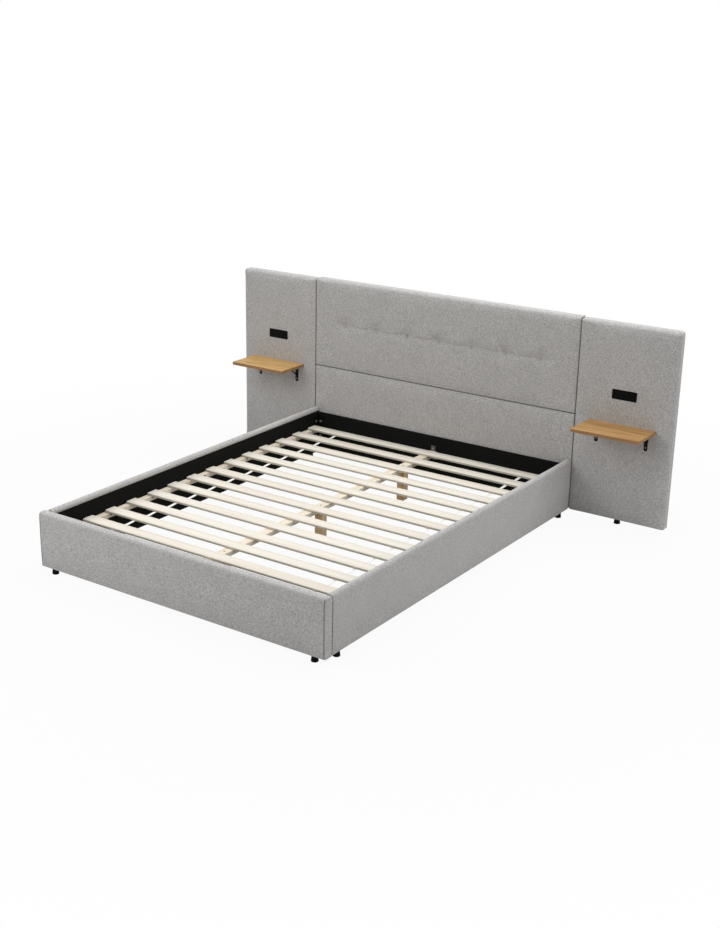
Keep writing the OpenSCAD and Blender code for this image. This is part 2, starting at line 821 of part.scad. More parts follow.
module centre_legs() {
    color(wood) difference() {
        for (y = leg_ys) block([-leg_w / 2, y - leg_w / 2, 0], [leg_w / 2, y + leg_w / 2, leg_h]);
        at_leg_screws() hole(screw_d, screw_head_h + leg_screw_l + 1);
    }
}

module leg_screws() {
    at_leg_screws() translate([screw_head_h, 0, 0]) wood_screw(leg_screw_l);
}

module beam_hangers() {
    half = beam_w / 2 + beam_clear;
    floor_z = seat_z - beam_h;
    color(zinc) difference() {
        for (end = [0, 1]) translate([0, end == 0 ? y_inner : y_rail, 0]) mirror([0, end, 0]) {
            block([-half - hanger_t, 0, floor_z - hanger_t - hanger_down],
                [half + hanger_t, hanger_t, seat_z]);
            block([-hanger_tab / 2, 0, floor_z], [hanger_tab / 2, hanger_t, seat_z + hanger_up]);
            block([-half - hanger_t, 0, floor_z - hanger_t], [half + hanger_t, hanger_l, floor_z]);
            for (x = [-half - hanger_t, half])
                block([x, 0, floor_z - hanger_t], [x + hanger_t, hanger_l, seat_z]);
        }
        at_hanger_screws() translate([-1, 0, 0]) hole(screw_d, hanger_t + 2);
    }
}

module hanger_screws() {
    at_hanger_screws() wood_screw(hanger_screw_l);
}

// ---------- bedside shelves ----------

module shelf(side) {
    color(oak) difference() {
        translate([side * wing_x - shelf_w / 2, y_head - shelf_gap - shelf_d, strap_top])
            linear_extrude(shelf_t) round_rect(shelf_w, shelf_d, shelf_r);
        at_straps(side) at_arm_screws(-1) hole(screw_d, shelf_screw_l + 1 - strap_t);
    }
}

// One bracket: upright on the headboard, arm under the shelf, diagonal stay between them
module strap_bracket() {
    angle = atan2(stay_down, stay_out);
    color(black_steel) difference() {
        union() {
            translate([-strap_w / 2, 0, strap_low]) rotate([90, 0, 0]) linear_extrude(strap_t) union() {
                translate([strap_w / 2, strap_w / 2]) circle(d = strap_w);
                translate([0, strap_w / 2]) square([strap_w, strap_drop - strap_w / 2]);
            }
            translate([-strap_w / 2, -strap_reach, strap_top - strap_t]) linear_extrude(strap_t) union() {
                translate([strap_w / 2, strap_w / 2]) circle(d = strap_w);
                translate([0, strap_w / 2]) square([strap_w, strap_reach - strap_w / 2]);
            }
            intersection() {
                translate([0, -stay_out, strap_top - strap_t]) rotate([-angle, 0, 0])
                    translate([-stay_w / 2, -strap_t, -strap_t]) cube([stay_w, stay_out * 2, strap_t]);
                block([-strap_w, -strap_reach, strap_low], [strap_w, 0, strap_top]);
            }
        }
        at_wing_screws(-strap_t - 1) hole(screw_d, strap_t + 2);
        at_arm_screws(-strap_t - 1) hole(screw_d, strap_t + 2);
    }
}

// Screws of one bracket that point into the wing, started at y from the headboard's front
module at_wing_screws(y) {
    for (z = strap_screw_zs) translate([0, y, z]) rotate([0, 0, 90]) children();
}

// Screws of one bracket that point up into the shelf, started at z from the arm's top
module at_arm_screws(z) {
    for (y = arm_screw_ys) translate([0, -y, strap_top + z]) rotate([0, -90, 0]) children();
}

module shelf_brackets(side) {
    at_straps(side) strap_bracket();
}

module shelf_screws() {
    for (side = [-1, 1]) at_straps(side) {
        at_wing_screws(-strap_t) wood_screw(wing_screw_l);
        at_arm_screws(-strap_t) wood_screw(shelf_screw_l);
    }
}

// ---------- sockets ----------

// Cut-out for a socket's box, through padding and board
module socket_space(side) {
    block([side * wing_x - box_w / 2 - box_clear, y_head - 1, socket_z - box_h / 2 - box_clear],
          [side * wing_x + box_w / 2 + box_clear, y_back + 1, socket_z + box_h / 2 + box_clear]);
}

// Three-pin outlet openings, drilled along +Y from y = 0
module outlet_holes(l) {
    for (x = [-blade_pitch / 2, blade_pitch / 2])
        block([x - blade_w / 2, -1, blade_up - blade_h / 2], [x + blade_w / 2, l, blade_up + blade_h / 2]);
    translate([0, -1, -earth_down]) rotate([-90, 0, 0]) cylinder(d = earth_d, h = l + 1);
}

module socket_face(side) {
    color(black_plastic) translate([side * wing_x, y_head - face_t, socket_z]) difference() {
        translate([-socket_w / 2, face_t, -socket_h / 2]) rotate([90, 0, 0])
            linear_extrude(face_t) round_rect(socket_w, socket_h, face_r);
        block([-box_w / 2, -1, -box_h / 2], [box_w / 2, face_t / 3, box_h / 2]);
        for (x = [-outlet_x, outlet_x]) translate([x, 0, 0]) outlet_holes(face_t + 1);
        for (z = [-port_z, port_z])
            block([-port_w / 2, -1, z - port_h / 2], [port_w / 2, face_t + 1, z + port_h / 2]);
    }
}

module socket_box(side) {
    color(black_plastic) translate([side * wing_x, y_head, socket_z]) difference() {
        union() {
            block([-box_w / 2, 0, -box_h / 2], [box_w / 2, box_depth, box_h / 2]);
            translate([0, box_depth - slit, 0]) rotate([-90, 0, 0])
                cylinder(d = gland_d, h = panel_t - box_depth + slit);
        }
        block([-box_w / 2 + box_wall, -1, -box_h / 2 + box_wall],
              [box_w / 2 - box_wall, box_depth - box_wall, box_h / 2 - box_wall]);
        rotate([-90, 0, 0]) cylinder(d = gland_bore, h = panel_t + 1);
    }
}

// Circuit board across the box, with contact blocks behind the outlets and the ports' shells
module socket_circuit_boards() {
    w = box_w - 2 * (box_wall + box_clear);
    h = box_h - 2 * (box_wall + box_clear);
    color("darkgreen") for (side = [-1, 1]) translate([side * wing_x, y_head, socket_z]) {
        block([-w / 2, circuit_y, -h / 2], [w / 2, circuit_y + circuit_t, h / 2]);
        for (x = [-outlet_x, outlet_x]) difference() {
            block([x - contact_w / 2, box_clear, -h / 2 + box_clear],
                [x + contact_w / 2, circuit_y, h / 2 - box_clear]);
            translate([x, box_clear, 0]) outlet_holes(circuit_y - contact_floor);
        }
        for (z = [-port_z, port_z]) difference() {
            block([-port_w / 2 - port_wall, box_clear, z - port_h / 2 - port_wall],
                  [port_w / 2 + port_wall, circuit_y, z + port_h / 2 + port_wall]);
            block([-port_w / 2, 0, z - port_h / 2], [port_w / 2, port_depth, z + port_h / 2]);
        }
    }
}

// ---------- glides ----------

module glides() {
    r = glide_d / 2;
    core = r - glide_r;
    color(black_plastic) at_glides() difference() {
        rotate_extrude() union() {
            polygon([[0, 0], [core, 0], [core, glide_r], [r, glide_r],
                [glide_top_d / 2, glide_h], [0, glide_h]]);
            intersection() {
                translate([core, glide_r]) circle(glide_r);
                square([r, glide_r]);
            }
        }
        translate([0, 0, glide_h - stud_grip]) cylinder(d = stud_d + hole_clear, h = stud_grip + 1);
    }
}

module glide_studs() {
    color(zinc) at_glides() translate([0, 0, glide_h - stud_grip])
        cylinder(d = stud_d, h = stud_grip + cloth_t + stud_bite);
}

// ---------- nodes ----------

footboard_board();
footboard_upholstery();
footboard_lining();
mirror([1, 0, 0]) rail_board();  // left_rail_board
mirror([1, 0, 0]) rail_upholstery();  // left_rail_upholstery
mirror([1, 0, 0]) rail_lining();  // left_rail_lining
rail_board();  // right_rail_board
rail_upholstery();  // right_rail_upholstery
rail_lining();  // right_rail_lining
head_rail();
upper_panel_board();
upper_panel_pad();
lower_panel_board();
lower_panel_pad();
wing_board(-1);  // left_wing_board
wing_pad(-1);  // left_wing_pad
wing_board(1);  // right_wing_board
wing_pad(1);  // right_wing_pad
back_covers();
joining_plates();
joining_screws();
corner_brackets();
corner_bolts();
head_rail_bolts();
mirror([1, 0, 0]) ledger();  // left_ledger
ledger();  // right_ledger
ledger_screws();
centre_beam();
beam_hangers();
hanger_screws();
centre_legs();
leg_screws();
shelf(-1);  // left_shelf
shelf(1);  // right_shelf
shelf_brackets(-1);  // left_shelf_brackets
shelf_brackets(1);  // right_shelf_brackets
shelf_screws();
socket_face(-1);  // left_socket_face
socket_face(1);  // right_socket_face
socket_box(-1);  // left_socket_box
socket_box(1);  // right_socket_box
socket_circuit_boards();
slat_ribbons();
glides();
glide_studs();
for (i = [1:slat_count]) slat(i);
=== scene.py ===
import math

import bmesh
import bpy
from bpy.props import FloatProperty, FloatVectorProperty, IntProperty, PointerProperty
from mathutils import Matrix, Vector, noise


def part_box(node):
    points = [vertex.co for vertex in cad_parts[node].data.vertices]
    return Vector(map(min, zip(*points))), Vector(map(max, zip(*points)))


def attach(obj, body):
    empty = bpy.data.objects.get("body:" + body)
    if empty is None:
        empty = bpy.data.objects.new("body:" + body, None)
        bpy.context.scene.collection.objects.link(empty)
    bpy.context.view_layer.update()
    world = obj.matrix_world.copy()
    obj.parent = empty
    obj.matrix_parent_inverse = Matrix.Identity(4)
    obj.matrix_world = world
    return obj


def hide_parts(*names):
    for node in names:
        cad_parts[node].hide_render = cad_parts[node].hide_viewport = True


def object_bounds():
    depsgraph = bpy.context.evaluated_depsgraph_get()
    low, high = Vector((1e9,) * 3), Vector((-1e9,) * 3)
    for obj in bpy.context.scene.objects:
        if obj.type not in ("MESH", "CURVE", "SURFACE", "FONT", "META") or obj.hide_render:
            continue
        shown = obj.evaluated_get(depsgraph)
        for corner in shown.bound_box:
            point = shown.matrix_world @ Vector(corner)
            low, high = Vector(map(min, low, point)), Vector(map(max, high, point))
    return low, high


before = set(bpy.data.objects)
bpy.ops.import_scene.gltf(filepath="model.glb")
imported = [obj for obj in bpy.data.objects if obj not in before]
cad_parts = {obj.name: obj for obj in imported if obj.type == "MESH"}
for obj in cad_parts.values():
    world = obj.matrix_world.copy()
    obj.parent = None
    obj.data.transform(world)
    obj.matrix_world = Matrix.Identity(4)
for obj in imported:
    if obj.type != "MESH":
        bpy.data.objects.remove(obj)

bl_info = {
    "name": "Upholstered Bed with Bedside Shelves",
    "version": (1, 0, 0),
    "blender": (4, 5, 0),
    "location": "3D View > Sidebar > Bed",
    "description": "Builds the padded covers, timber, steel and plastic of a bed around its packed frame",
    "category": "Add Mesh",
}

CAD_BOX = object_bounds()
BODY = "root"
SIDES = {"left": -1, "right": 1}

# ---------- places that the CAD gives ----------

SLATS = [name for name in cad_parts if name.startswith("slat_") and name != "slat_ribbons"]
SLAT_LOW, SLAT_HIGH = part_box("slat_01")
SLAT_LENGTH, SLAT_WIDTH, SLAT_THICKNESS = (high - low for low, high in zip(SLAT_LOW, SLAT_HIGH))
SLAT_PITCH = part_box("slat_02")[0][1] - SLAT_LOW[1]


def linear(colour):
    """An sRGB hex colour as linear red, green and blue."""
    parts = [int(colour[i:i + 2], 16) / 255 for i in (1, 3, 5)]
    return tuple(c / 12.92 if c <= 0.04045 else ((c + 0.055) / 1.055) ** 2.4 for c in parts)


def colour_prop(name, colour, description):
    return FloatVectorProperty(name=name, subtype="COLOR", size=3, min=0, max=1, default=linear(colour),
        description=description)


def length_prop(name, description, length, **limits):
    return FloatProperty(name=name, unit="LENGTH", default=length, description=description, **limits)


class BedSoftGoods(bpy.types.PropertyGroup):
    """Sizes and colours of the padded covers"""

    edge_radius: length_prop("Outer edge radius", "Rounding of the headboard's outer front edges",
        0.014, min=0.004, max=0.02)
    seam_radius: length_prop("Seam edge radius", "Rounding of the edges where two panels or covers meet",
        0.0025, min=0.002, max=0.01)
    seam_inset: length_prop("Seam inset", "How far a panel's cloth draws back from a seam",
        0.0014, min=0, max=0.002)
    corner_radius: length_prop("Outer corner radius",
        "Rounding of the headboard's two upper corners, seen from the front", 0.016, min=0.002, max=0.03)
    crown: length_prop("Panel crown", "How far the headboard panels bulge in the middle",
        0.003, min=0, max=0.003)
    weave_step: length_prop("Mesh step", "Spacing of the points that the cloth is worked out on",
        0.02, min=0.008, max=0.04)
    tuft_height: length_prop("Pull line height", "Height of the tufted line above the floor", 0.721)
    tuft_pitch: length_prop("Tuft spacing", "Distance from tuft to tuft", 0.182)
    tuft_count: IntProperty(name="Tufts", default=7, min=1, description="Number of tufts along the line")
    tuft_depth: length_prop("Tuft depth", "Depth of a sewn tuft", 0.015)
    deepest: length_prop("Deepest point", "How deep a tuft may reach, just in front of the board", 0.0168)
    pull_depth: length_prop("Pull depth", "Depth of the line pulled between the tufts", 0.0048)
    crease_depth: length_prop("Crease depth", "Depth of the upright crease at each tuft", 0.006)
    waviness: length_prop("Foam waviness", "How uneven the foam is under the cloth",
        0.0006, min=0, max=0.003)
    cloth_colour: colour_prop("Cloth", "#B1AFAD", "Middle colour of the melange cloth")
    cloth_dark: colour_prop("Dark yarn", "#8D8A89", "Colour of the cloth's darker yarns")
    cloth_light: colour_prop("Light yarn", "#CFCDCC", "Colour of the cloth's lighter yarns")
    lining_colour: colour_prop("Lining", "#0B0B0A", "Colour of the black linings")


class BedTimber(bpy.types.PropertyGroup):
    """Sizes and colours of the wooden pieces"""

    slat_edge: length_prop("Slat edge radius", "Rounding of the slats' long edges",
        0.0025, min=0.0005, max=0.005)
    slat_wander: length_prop("Slat wander", "How far a loose slat lies out of its even place",
        0.0012, min=0, max=0.003)
    shelf_edge: length_prop("Shelf edge radius", "Rounding of the shelves' edges",
        0.0012, min=0.0003, max=0.004)
    slat_light: colour_prop("Slat light", "#E7E1D6", "Pale wood of the slats")
    slat_dark: colour_prop("Slat grain", "#DAD2C3", "Grain of the slats")
    # the slats' long sides are drawn darker than their tops: painted shade from the neighbouring slats
    slat_side_shade: colour_prop("Slat sides", "#CAC1B1", "Long sides of the slats, darker as painted shade")
    ledger_light: colour_prop("Ledger light", "#EFE7D8", "Wood of the ledgers")
    ledger_dark: colour_prop("Ledger grain", "#DDCEB6", "Grain of the ledgers")
    beam_light: colour_prop("Beam light", "#EAE2D2", "Wood of the centre beam")
    beam_dark: colour_prop("Beam grain", "#D6C8AF", "Grain of the centre beam")
    leg_light: colour_prop("Leg light", "#D8BD92", "Wood of the legs")
    leg_dark: colour_prop("Leg grain", "#AF8A5A", "Grain of the legs")
    oak_light: colour_prop("Oak light", "#BC935F", "Early wood of the shelves")
    oak_dark: colour_prop("Oak dark", "#8F693A", "Late wood of the shelves")
    # the left shelf is drawn lighter and less orange than the right one
    pale_oak_light: colour_prop("Pale oak light", "#D3AC70", "Early wood of the left shelf, a paler cut")
    pale_oak_dark: colour_prop("Pale oak dark", "#A27D46", "Late wood of the left shelf")
    oak_band: colour_prop("Edge band", "#A0794E", "Veneer band on the shelves' edges")


class BedHardware(bpy.types.PropertyGroup):
    """Sizes and colours of steel and plastic"""

    black_steel: colour_prop("Black steel", "#0C0B0B", "Powder coat of the shelf and corner brackets")
    zinc: colour_prop("Zinc", "#C3C6C8", "Zinc plating of bolts, screws and plates")
    # galvanised grey, darkened as painted shade and a painted reflection of the black linings near the
    # hangers; the shelf and leg screws share it
    shaded_zinc: colour_prop("Hanger steel", "#77716A", "Galvanised steel of the beam hangers, darkened as painted shade")
    black_plastic: colour_prop("Black plastic", "#070707", "Plastic of sockets and glides")
    ribbon: colour_prop("Ribbon", "#F4F3F0", "Cotton ribbon under the slats")


# ---------- node and mesh helpers ----------

def add(tree, kind, links=None, stops=(), **settings):
    """Adds a node with its settings. links sets its inputs, by name or number, to values, to sockets or to a
    node's first output. stops are the places and colours along a colour ramp."""
    node = tree.nodes.new(kind)
    for key, value in settings.items():
        setattr(node, key, value)
    for key, value in (links or {}).items():
        if isinstance(value, bpy.types.Node):
            value = value.outputs[0]
        if isinstance(value, bpy.types.NodeSocket):
            tree.links.new(value, node.inputs[key])
        else:
            node.inputs[key].default_value = value
    if stops:
        elements = node.color_ramp.elements
        for element, (place, colour) in zip(elements, (stops[0], stops[-1])):
            element.position = place
            element.color = opaque(colour)
        for place, colour in stops[1:-1]:
            elements.new(place).color = opaque(colour)
    return node


def opaque(colour):
    return (*colour[:3], 1.0)


def shade(colour, factor):
    """A colour made darker or lighter."""
    return [c * factor for c in colour]


def start_material(name):
    """An empty material, its tree and its Object coordinates in metres."""
    material = bpy.data.materials.new(name)
    material.use_nodes = True
    tree = material.node_tree
    tree.nodes.clear()
    return material, tree, add(tree, "ShaderNodeTexCoord").outputs["Object"]


def close_material(tree, colour, height=None, bump=0.0, **constants):
    """Ends a tree in a Principled BSDF. bump is the relief's full height in metres."""
    links = {"Base Color": colour}
    if height is not None:
        links["Normal"] = add(tree, "ShaderNodeBump", {"Height": height, "Distance": bump, "Strength": 1.0})
    for key, value in constants.items():
        links[key.replace("_", " ")] = value
    add(tree, "ShaderNodeOutputMaterial", {"Surface": add(tree, "ShaderNodeBsdfPrincipled", links)})


def face_outwards(mesh):
    """Turns all the faces of a closed mesh outwards."""
    bm = bmesh.new()
    bm.from_mesh(mesh)
    bmesh.ops.recalc_face_normals(bm, faces=bm.faces)
    bm.to_mesh(mesh)
    bm.free()


def show_piece(name, mesh, material, replaced=()):
    """Puts a finished mesh in the scene as a piece of the bed."""
    piece = bpy.data.objects.new(name, mesh)
    bpy.context.scene.collection.objects.link(piece)
    if material is not None:
        mesh.materials.clear()
        mesh.materials.append(material)
    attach(piece, BODY)
    if replaced:
        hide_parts(*replaced)
    return piece


def mesh_from(name, points, faces, smooth=True):
    mesh = bpy.data.meshes.new(name)
    mesh.from_pydata([tuple(p) for p in points], [], faces)
    mesh.validate()
    for polygon in mesh.polygons:
        polygon.use_smooth = smooth
    return mesh


def bm_to_mesh(name, bm, smooth=False):
    bmesh.ops.recalc_face_normals(bm, faces=bm.faces)
    mesh = bpy.data.meshes.new(name)
    bm.to_mesh(mesh)
    bm.free()
    for polygon in mesh.polygons:
        polygon.use_smooth = smooth
    return mesh


def applied(holder, name):
    """The evaluated mesh of an object with modifiers, which is then removed."""
    graph = bpy.context.evaluated_depsgraph_get()
    mesh = bpy.data.meshes.new_from_object(holder.evaluated_get(graph), depsgraph=graph)
    mesh.name = name
    old = holder.data
    bpy.data.objects.remove(holder)
    if old.users == 0:
        bpy.data.meshes.remove(old)
    return mesh


def temporary(mesh):
    holder = bpy.data.objects.new("working", mesh)
    bpy.context.scene.collection.objects.link(holder)
    return holder


def plank(bm, low, high, radius, segments=3):
    """A board with rounded edges, added to bm."""
    made = bmesh.ops.create_cube(bm, size=1.0)["verts"]
    centre = (Vector(low) + Vector(high)) / 2
    size = Vector(high) - Vector(low)
    for v in made:
        v.co = centre + Vector((v.co.x * size.x, v.co.y * size.y, v.co.z * size.z))
    edges = list({e for v in made for e in v.link_edges})
    bmesh.ops.bevel(bm, geom=edges, offset=radius, offset_type="OFFSET", segments=segments, profile=0.5,
        affect="EDGES", clamp_overlap=True)


# ---------- materials ----------

def melange_cloth(goods):
    """Polyester linen in a plain weave of mixed light and dark yarn: matt, warm light grey, speckled.
    The 0.6 mm yarns are too fine for the render, so their slubs are drawn 1.8 mm wide and 8 mm long."""
    material, tree, here = start_material("melange polyester linen")
    slub_long, slub_wide = 130, 560

    def yarns(*scale):
        turned = add(tree, "ShaderNodeMapping", {"Vector": here, "Scale": scale})
        return add(tree, "ShaderNodeTexNoise", {"Vector": turned, "Scale": 1.0, "Detail": 2.0})

    weft, warp = yarns(slub_long, slub_long, slub_wide), yarns(slub_wide, slub_wide, slub_long)
    yarn = add(tree, "ShaderNodeMath", {0: weft, 1: warp}, operation="ADD")
    middle = add(tree, "ShaderNodeMath", {0: yarn, 1: 0.5}, operation="MULTIPLY")
    woven = add(tree, "ShaderNodeValToRGB", {0: middle},
        stops=((0.36, goods.cloth_dark), (0.5, goods.cloth_colour), (0.64, goods.cloth_light)))
    # dye clouds of about 90 mm
    clouds = add(tree, "ShaderNodeTexNoise", {"Vector": here, "Scale": 11.0, "Detail": 3.0})
    tone = add(tree, "ShaderNodeMapRange", {"Value": clouds, "From Min": 0.3, "From Max": 0.7,
        "To Min": 0.965, "To Max": 1.03})
    colour = add(tree, "ShaderNodeMix", {0: 1.0, 6: woven, 7: tone}, data_type="RGBA", blend_type="MULTIPLY")
    ripple = add(tree, "ShaderNodeTexNoise", {"Vector": here, "Scale": 900.0, "Detail": 1.0})
    relief = add(tree, "ShaderNodeMath", {0: yarn, 1: ripple}, operation="ADD")
    close_material(tree, colour.outputs[2], relief, 0.00025, Roughness=0.92, Sheen_Weight=0.5,
        Sheen_Roughness=0.5, Specular_IOR_Level=0.2)
    return material


def lining_cloth(goods):
    """Spun non-woven polypropylene: flat black, dull, with a faint pressed fleck 2 mm wide."""
    material, tree, here = start_material("black non-woven lining")
    fleck = add(tree, "ShaderNodeTexVoronoi", {"Vector": here, "Scale": 480.0}).outputs["Distance"]
    dull = add(tree, "ShaderNodeTexNoise", {"Vector": here, "Scale": 35.0, "Detail": 3.0})
    colour = add(tree, "ShaderNodeValToRGB", {0: dull},
        stops=((0, shade(goods.lining_colour, 0.75)), (1, shade(goods.lining_colour, 1.5))))
    close_material(tree, colour, fleck, 0.0003, Roughness=0.9, Specular_IOR_Level=0.12)
    return material


def grained_wood(name, light, dark, grain, rings=0.012, pores=0.0025, roughness=0.65, relief=0.0003,
        tone=None):
    """Planed wood: long streaks along the board, finer pores in them and a slow change of tone.
    rings and pores are their spacings across the grain; tone is an attribute that shifts the colour."""
    material, tree, here = start_material(name)

    def figure(spacing, **settings):
        drawn = add(tree, "ShaderNodeMapping", {"Vector": here, "Scale": tuple(s / spacing for s in grain)})
        return add(tree, "ShaderNodeTexNoise", {"Vector": drawn, "Scale": 1.0, **settings})

    streaks, specks = figure(rings, Detail=4.0, Distortion=0.6), figure(pores, Detail=2.0)
    part = add(tree, "ShaderNodeMath", {0: specks, 1: 0.32}, operation="MULTIPLY")
    mixed = add(tree, "ShaderNodeMath", {0: streaks, 1: 0.68, 2: part}, operation="MULTIPLY_ADD")
    if tone:
        shift = add(tree, "ShaderNodeAttribute", attribute_name=tone)
        mixed = add(tree, "ShaderNodeMath", {0: mixed, 1: shift.outputs["Fac"]}, operation="ADD")
    colour = add(tree, "ShaderNodeValToRGB", {0: mixed}, stops=((0.33, dark), (0.62, light)))
    close_material(tree, colour, specks, relief, Roughness=roughness, Specular_IOR_Level=0.35)
    return material


def powder_coat(name, colour):
    """Powder-coated steel: black, satin, with the fine orange peel of baked powder."""
    material, tree, here = start_material(name)
    peel = add(tree, "ShaderNodeTexNoise", {"Vector": here, "Scale": 900.0, "Detail": 2.0})
    patch = add(tree, "ShaderNodeTexNoise", {"Vector": here, "Scale": 60.0})
    mottled = add(tree, "ShaderNodeValToRGB", {0: patch},
        stops=((0, shade(colour, 0.8)), (1, shade(colour, 1.35))))
    close_material(tree, mottled, peel, 0.0001, Roughness=0.5, Specular_IOR_Level=0.1)
    return material


def zinc_plate(name, colour, grain):
    """Zinc-plated steel: bright cold grey metal, clouded where the plating is thicker."""
    material, tree, here = start_material(name)
    spangle = add(tree, "ShaderNodeTexVoronoi", {"Vector": here, "Scale": grain}).outputs["Color"]
    tone = add(tree, "ShaderNodeMapRange", {"Value": spangle, "To Min": 0.8, "To Max": 1.05})
    clouded = add(tree, "ShaderNodeMix", {0: 1.0, 6: opaque(colour), 7: tone},
        data_type="RGBA", blend_type="MULTIPLY")
    scratch = add(tree, "ShaderNodeTexNoise", {"Vector": here, "Scale": 700.0, "Detail": 2.0})
    rough = add(tree, "ShaderNodeMapRange", {"Value": scratch, "To Min": 0.28, "To Max": 0.46})
    close_material(tree, clouded.outputs[2], scratch, 0.00005, Roughness=rough, Metallic=1.0)
    return material


def moulded_plastic(name, colour, roughness):
    """Moulded ABS: black with a fine sparked texture that dulls its gloss."""
    material, tree, here = start_material(name)
    spark = add(tree, "ShaderNodeTexNoise", {"Vector": here, "Scale": 1400.0, "Detail": 2.0})
    mottled = add(tree, "ShaderNodeValToRGB", {0: spark},
        stops=((0, shade(colour, 0.85)), (1, shade(colour, 1.25))))
    close_material(tree, mottled, spark, 0.00008, Roughness=roughness, Specular_IOR_Level=0.06)
    return material


def woven_ribbon(colour):
    """Cotton twill ribbon: white, dull, with slanted threads drawn 6 mm apart along it."""
    material, tree, here = start_material("white cotton ribbon")
    thread = add(tree, "ShaderNodeTexWave", {"Vector": here, "Scale": 105.0, "Distortion": 1.5},
        bands_direction="DIAGONAL").outputs["Fac"]
    woven = add(tree, "ShaderNodeValToRGB", {0: thread}, stops=((0, shade(colour, 0.88)), (1, colour)))
    close_material(tree, woven, thread, 0.0002, Roughness=0.9, Specular_IOR_Level=0.2)
    return material


def chip_board():
    """Raw particle board: buff with pressed chips of 4 mm; it only shows where the covers leave it."""
    material, tree, here = start_material("raw particle board")
    chips = add(tree, "ShaderNodeTexVoronoi", {"Vector": here, "Scale": 250.0}).outputs["Color"]
    buff = add(tree, "ShaderNodeValToRGB", {0: chips}, stops=((0, linear("#A98457")), (1, linear("#D2B285"))))
    close_material(tree, buff, chips, 0.0002, Roughness=0.8)
    return material


def circuit_laminate():
    """Glass-epoxy circuit board: green solder mask with a faint weave of 1 mm."""
    material, tree, here = start_material("green circuit laminate")
    weave = add(tree, "ShaderNodeTexChecker", {"Vector": here, "Scale": 1000.0,
        "Color1": opaque(linear("#1D5A38")), "Color2": opaque(linear("#226641"))}).outputs
    close_material(tree, weave["Color"], weave["Fac"], 0.00003, Roughness=0.35)
    return material


# how the figure of the wood is stretched: a small share along the grain, 1 across it
SLAT_GRAIN = (0.035, 1, 1)
SHELF_GRAIN = (0.06, 1, 1)
BAND_GRAIN = (0.06, 0.06, 1)
BEAM_GRAIN = (1, 0.04, 1)
LEG_GRAIN = (1, 1, 0.05)
VENEER = {"rings": 0.016, "pores": 0.003, "roughness": 0.5, "relief": 0.0002}

MATERIALS = {}


def material(name):
    """One of the bed's materials, made once from the scene's properties."""
    scene = bpy.context.scene
    goods, timber, steel = scene.bed_soft_goods, scene.bed_timber, scene.bed_hardware
    if name not in MATERIALS:
        MATERIALS[name] = {
            "cloth": lambda: melange_cloth(goods),
            "lining": lambda: lining_cloth(goods),
            "slat": lambda: grained_wood("planed poplar", timber.slat_light, timber.slat_dark, SLAT_GRAIN,
                rings=0.018, pores=0.003, roughness=0.62, relief=0.0002, tone="slat_tone"),
            # the slats' long sides: the slat wood made darker, as painted shade between the slats
            "shaded slat side": lambda: grained_wood("poplar sides in painted shade", timber.slat_side_shade, shade(timber.slat_side_shade, 0.8),
                SLAT_GRAIN, rings=0.01, pores=0.002, roughness=0.8),
            "ledger": lambda: grained_wood("planed poplar along the bed", timber.ledger_light,
                timber.ledger_dark, BEAM_GRAIN),
            "beam": lambda: grained_wood("planed pine along the bed", timber.beam_light, timber.beam_dark,
                BEAM_GRAIN),
            "leg": lambda: grained_wood("planed pine upright", timber.leg_light, timber.leg_dark, LEG_GRAIN),
            "oak": lambda: grained_wood("oak veneer", timber.oak_light, timber.oak_dark,
                SHELF_GRAIN, **VENEER),
            "pale oak": lambda: grained_wood("pale oak veneer", timber.pale_oak_light, timber.pale_oak_dark,
                SHELF_GRAIN, **VENEER),
            "oak band": lambda: grained_wood("oak edge band", timber.oak_band, shade(timber.oak_band, 0.7),
                BAND_GRAIN, rings=0.008, pores=0.0015, roughness=0.55, relief=0.0002),
            "black steel": lambda: powder_coat("black powder-coated steel", steel.black_steel),
            "zinc": lambda: zinc_plate("zinc-plated steel", steel.zinc, 300.0),
            # galvanised grey darkened as painted shade
            "galvanised": lambda: zinc_plate("galvanised steel in painted shade", steel.shaded_zinc, 140.0),
            "plastic": lambda: moulded_plastic("moulded black ABS", steel.black_plastic, 0.55),
            "foot": lambda: moulded_plastic("moulded black polyethylene", steel.black_plastic, 0.5),
            "ribbon": lambda: woven_ribbon(steel.ribbon),
            "board": chip_board,
            "circuit": circuit_laminate,
        }[name]()
    return MATERIALS[name]


def finish_nodes(names):
    """Gives the CAD nodes that keep their shape the materials of a table."""
    for node, name in names.items():
        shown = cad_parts[node]
        if not shown.material_slots:
            shown.data.materials.append(None)
        for place in shown.material_slots:
            place.material = material(name)


# ---------- padded headboard panels ----------

# points on a rounded edge, frames that the cloth settles for, and how far it may bulge in front of the CAD
EDGE_STEPS = 6
CLOTH_FRAMES = 20
FRONT_ROOM = 0.002

# distances from a tuft and from the pull line at which the cover has a row of points
TUFT_ROWS = (-0.034, -0.022, -0.014, -0.008, -0.0035, 0.0, 0.0035, 0.008, 0.014, 0.022, 0.034)
PULL_ROWS = (-0.05, -0.034, -0.022, -0.013, -0.007, -0.0025, 0.0, 0.0025, 0.006, 0.011, 0.017, 0.025,
    0.036, 0.05)


def stations(length, radii, step, tight=()):
    """Places along a side: close on the two rounded edges and at the tight spots, a step apart elsewhere."""
    near, far = ([r * (1 - math.cos(math.radians(90 * i / EDGE_STEPS))) for i in range(EDGE_STEPS + 1)]
        for r in radii)
    fixed = sorted([*near, *tight, *(length - e for e in far)])
    places = []
    for a, b in zip(fixed, fixed[1:]):
        count = max(1, math.ceil((b - a) / step - 1e-6))
        places += [a + (b - a) * i / count for i in range(count)]
    return places + [length]


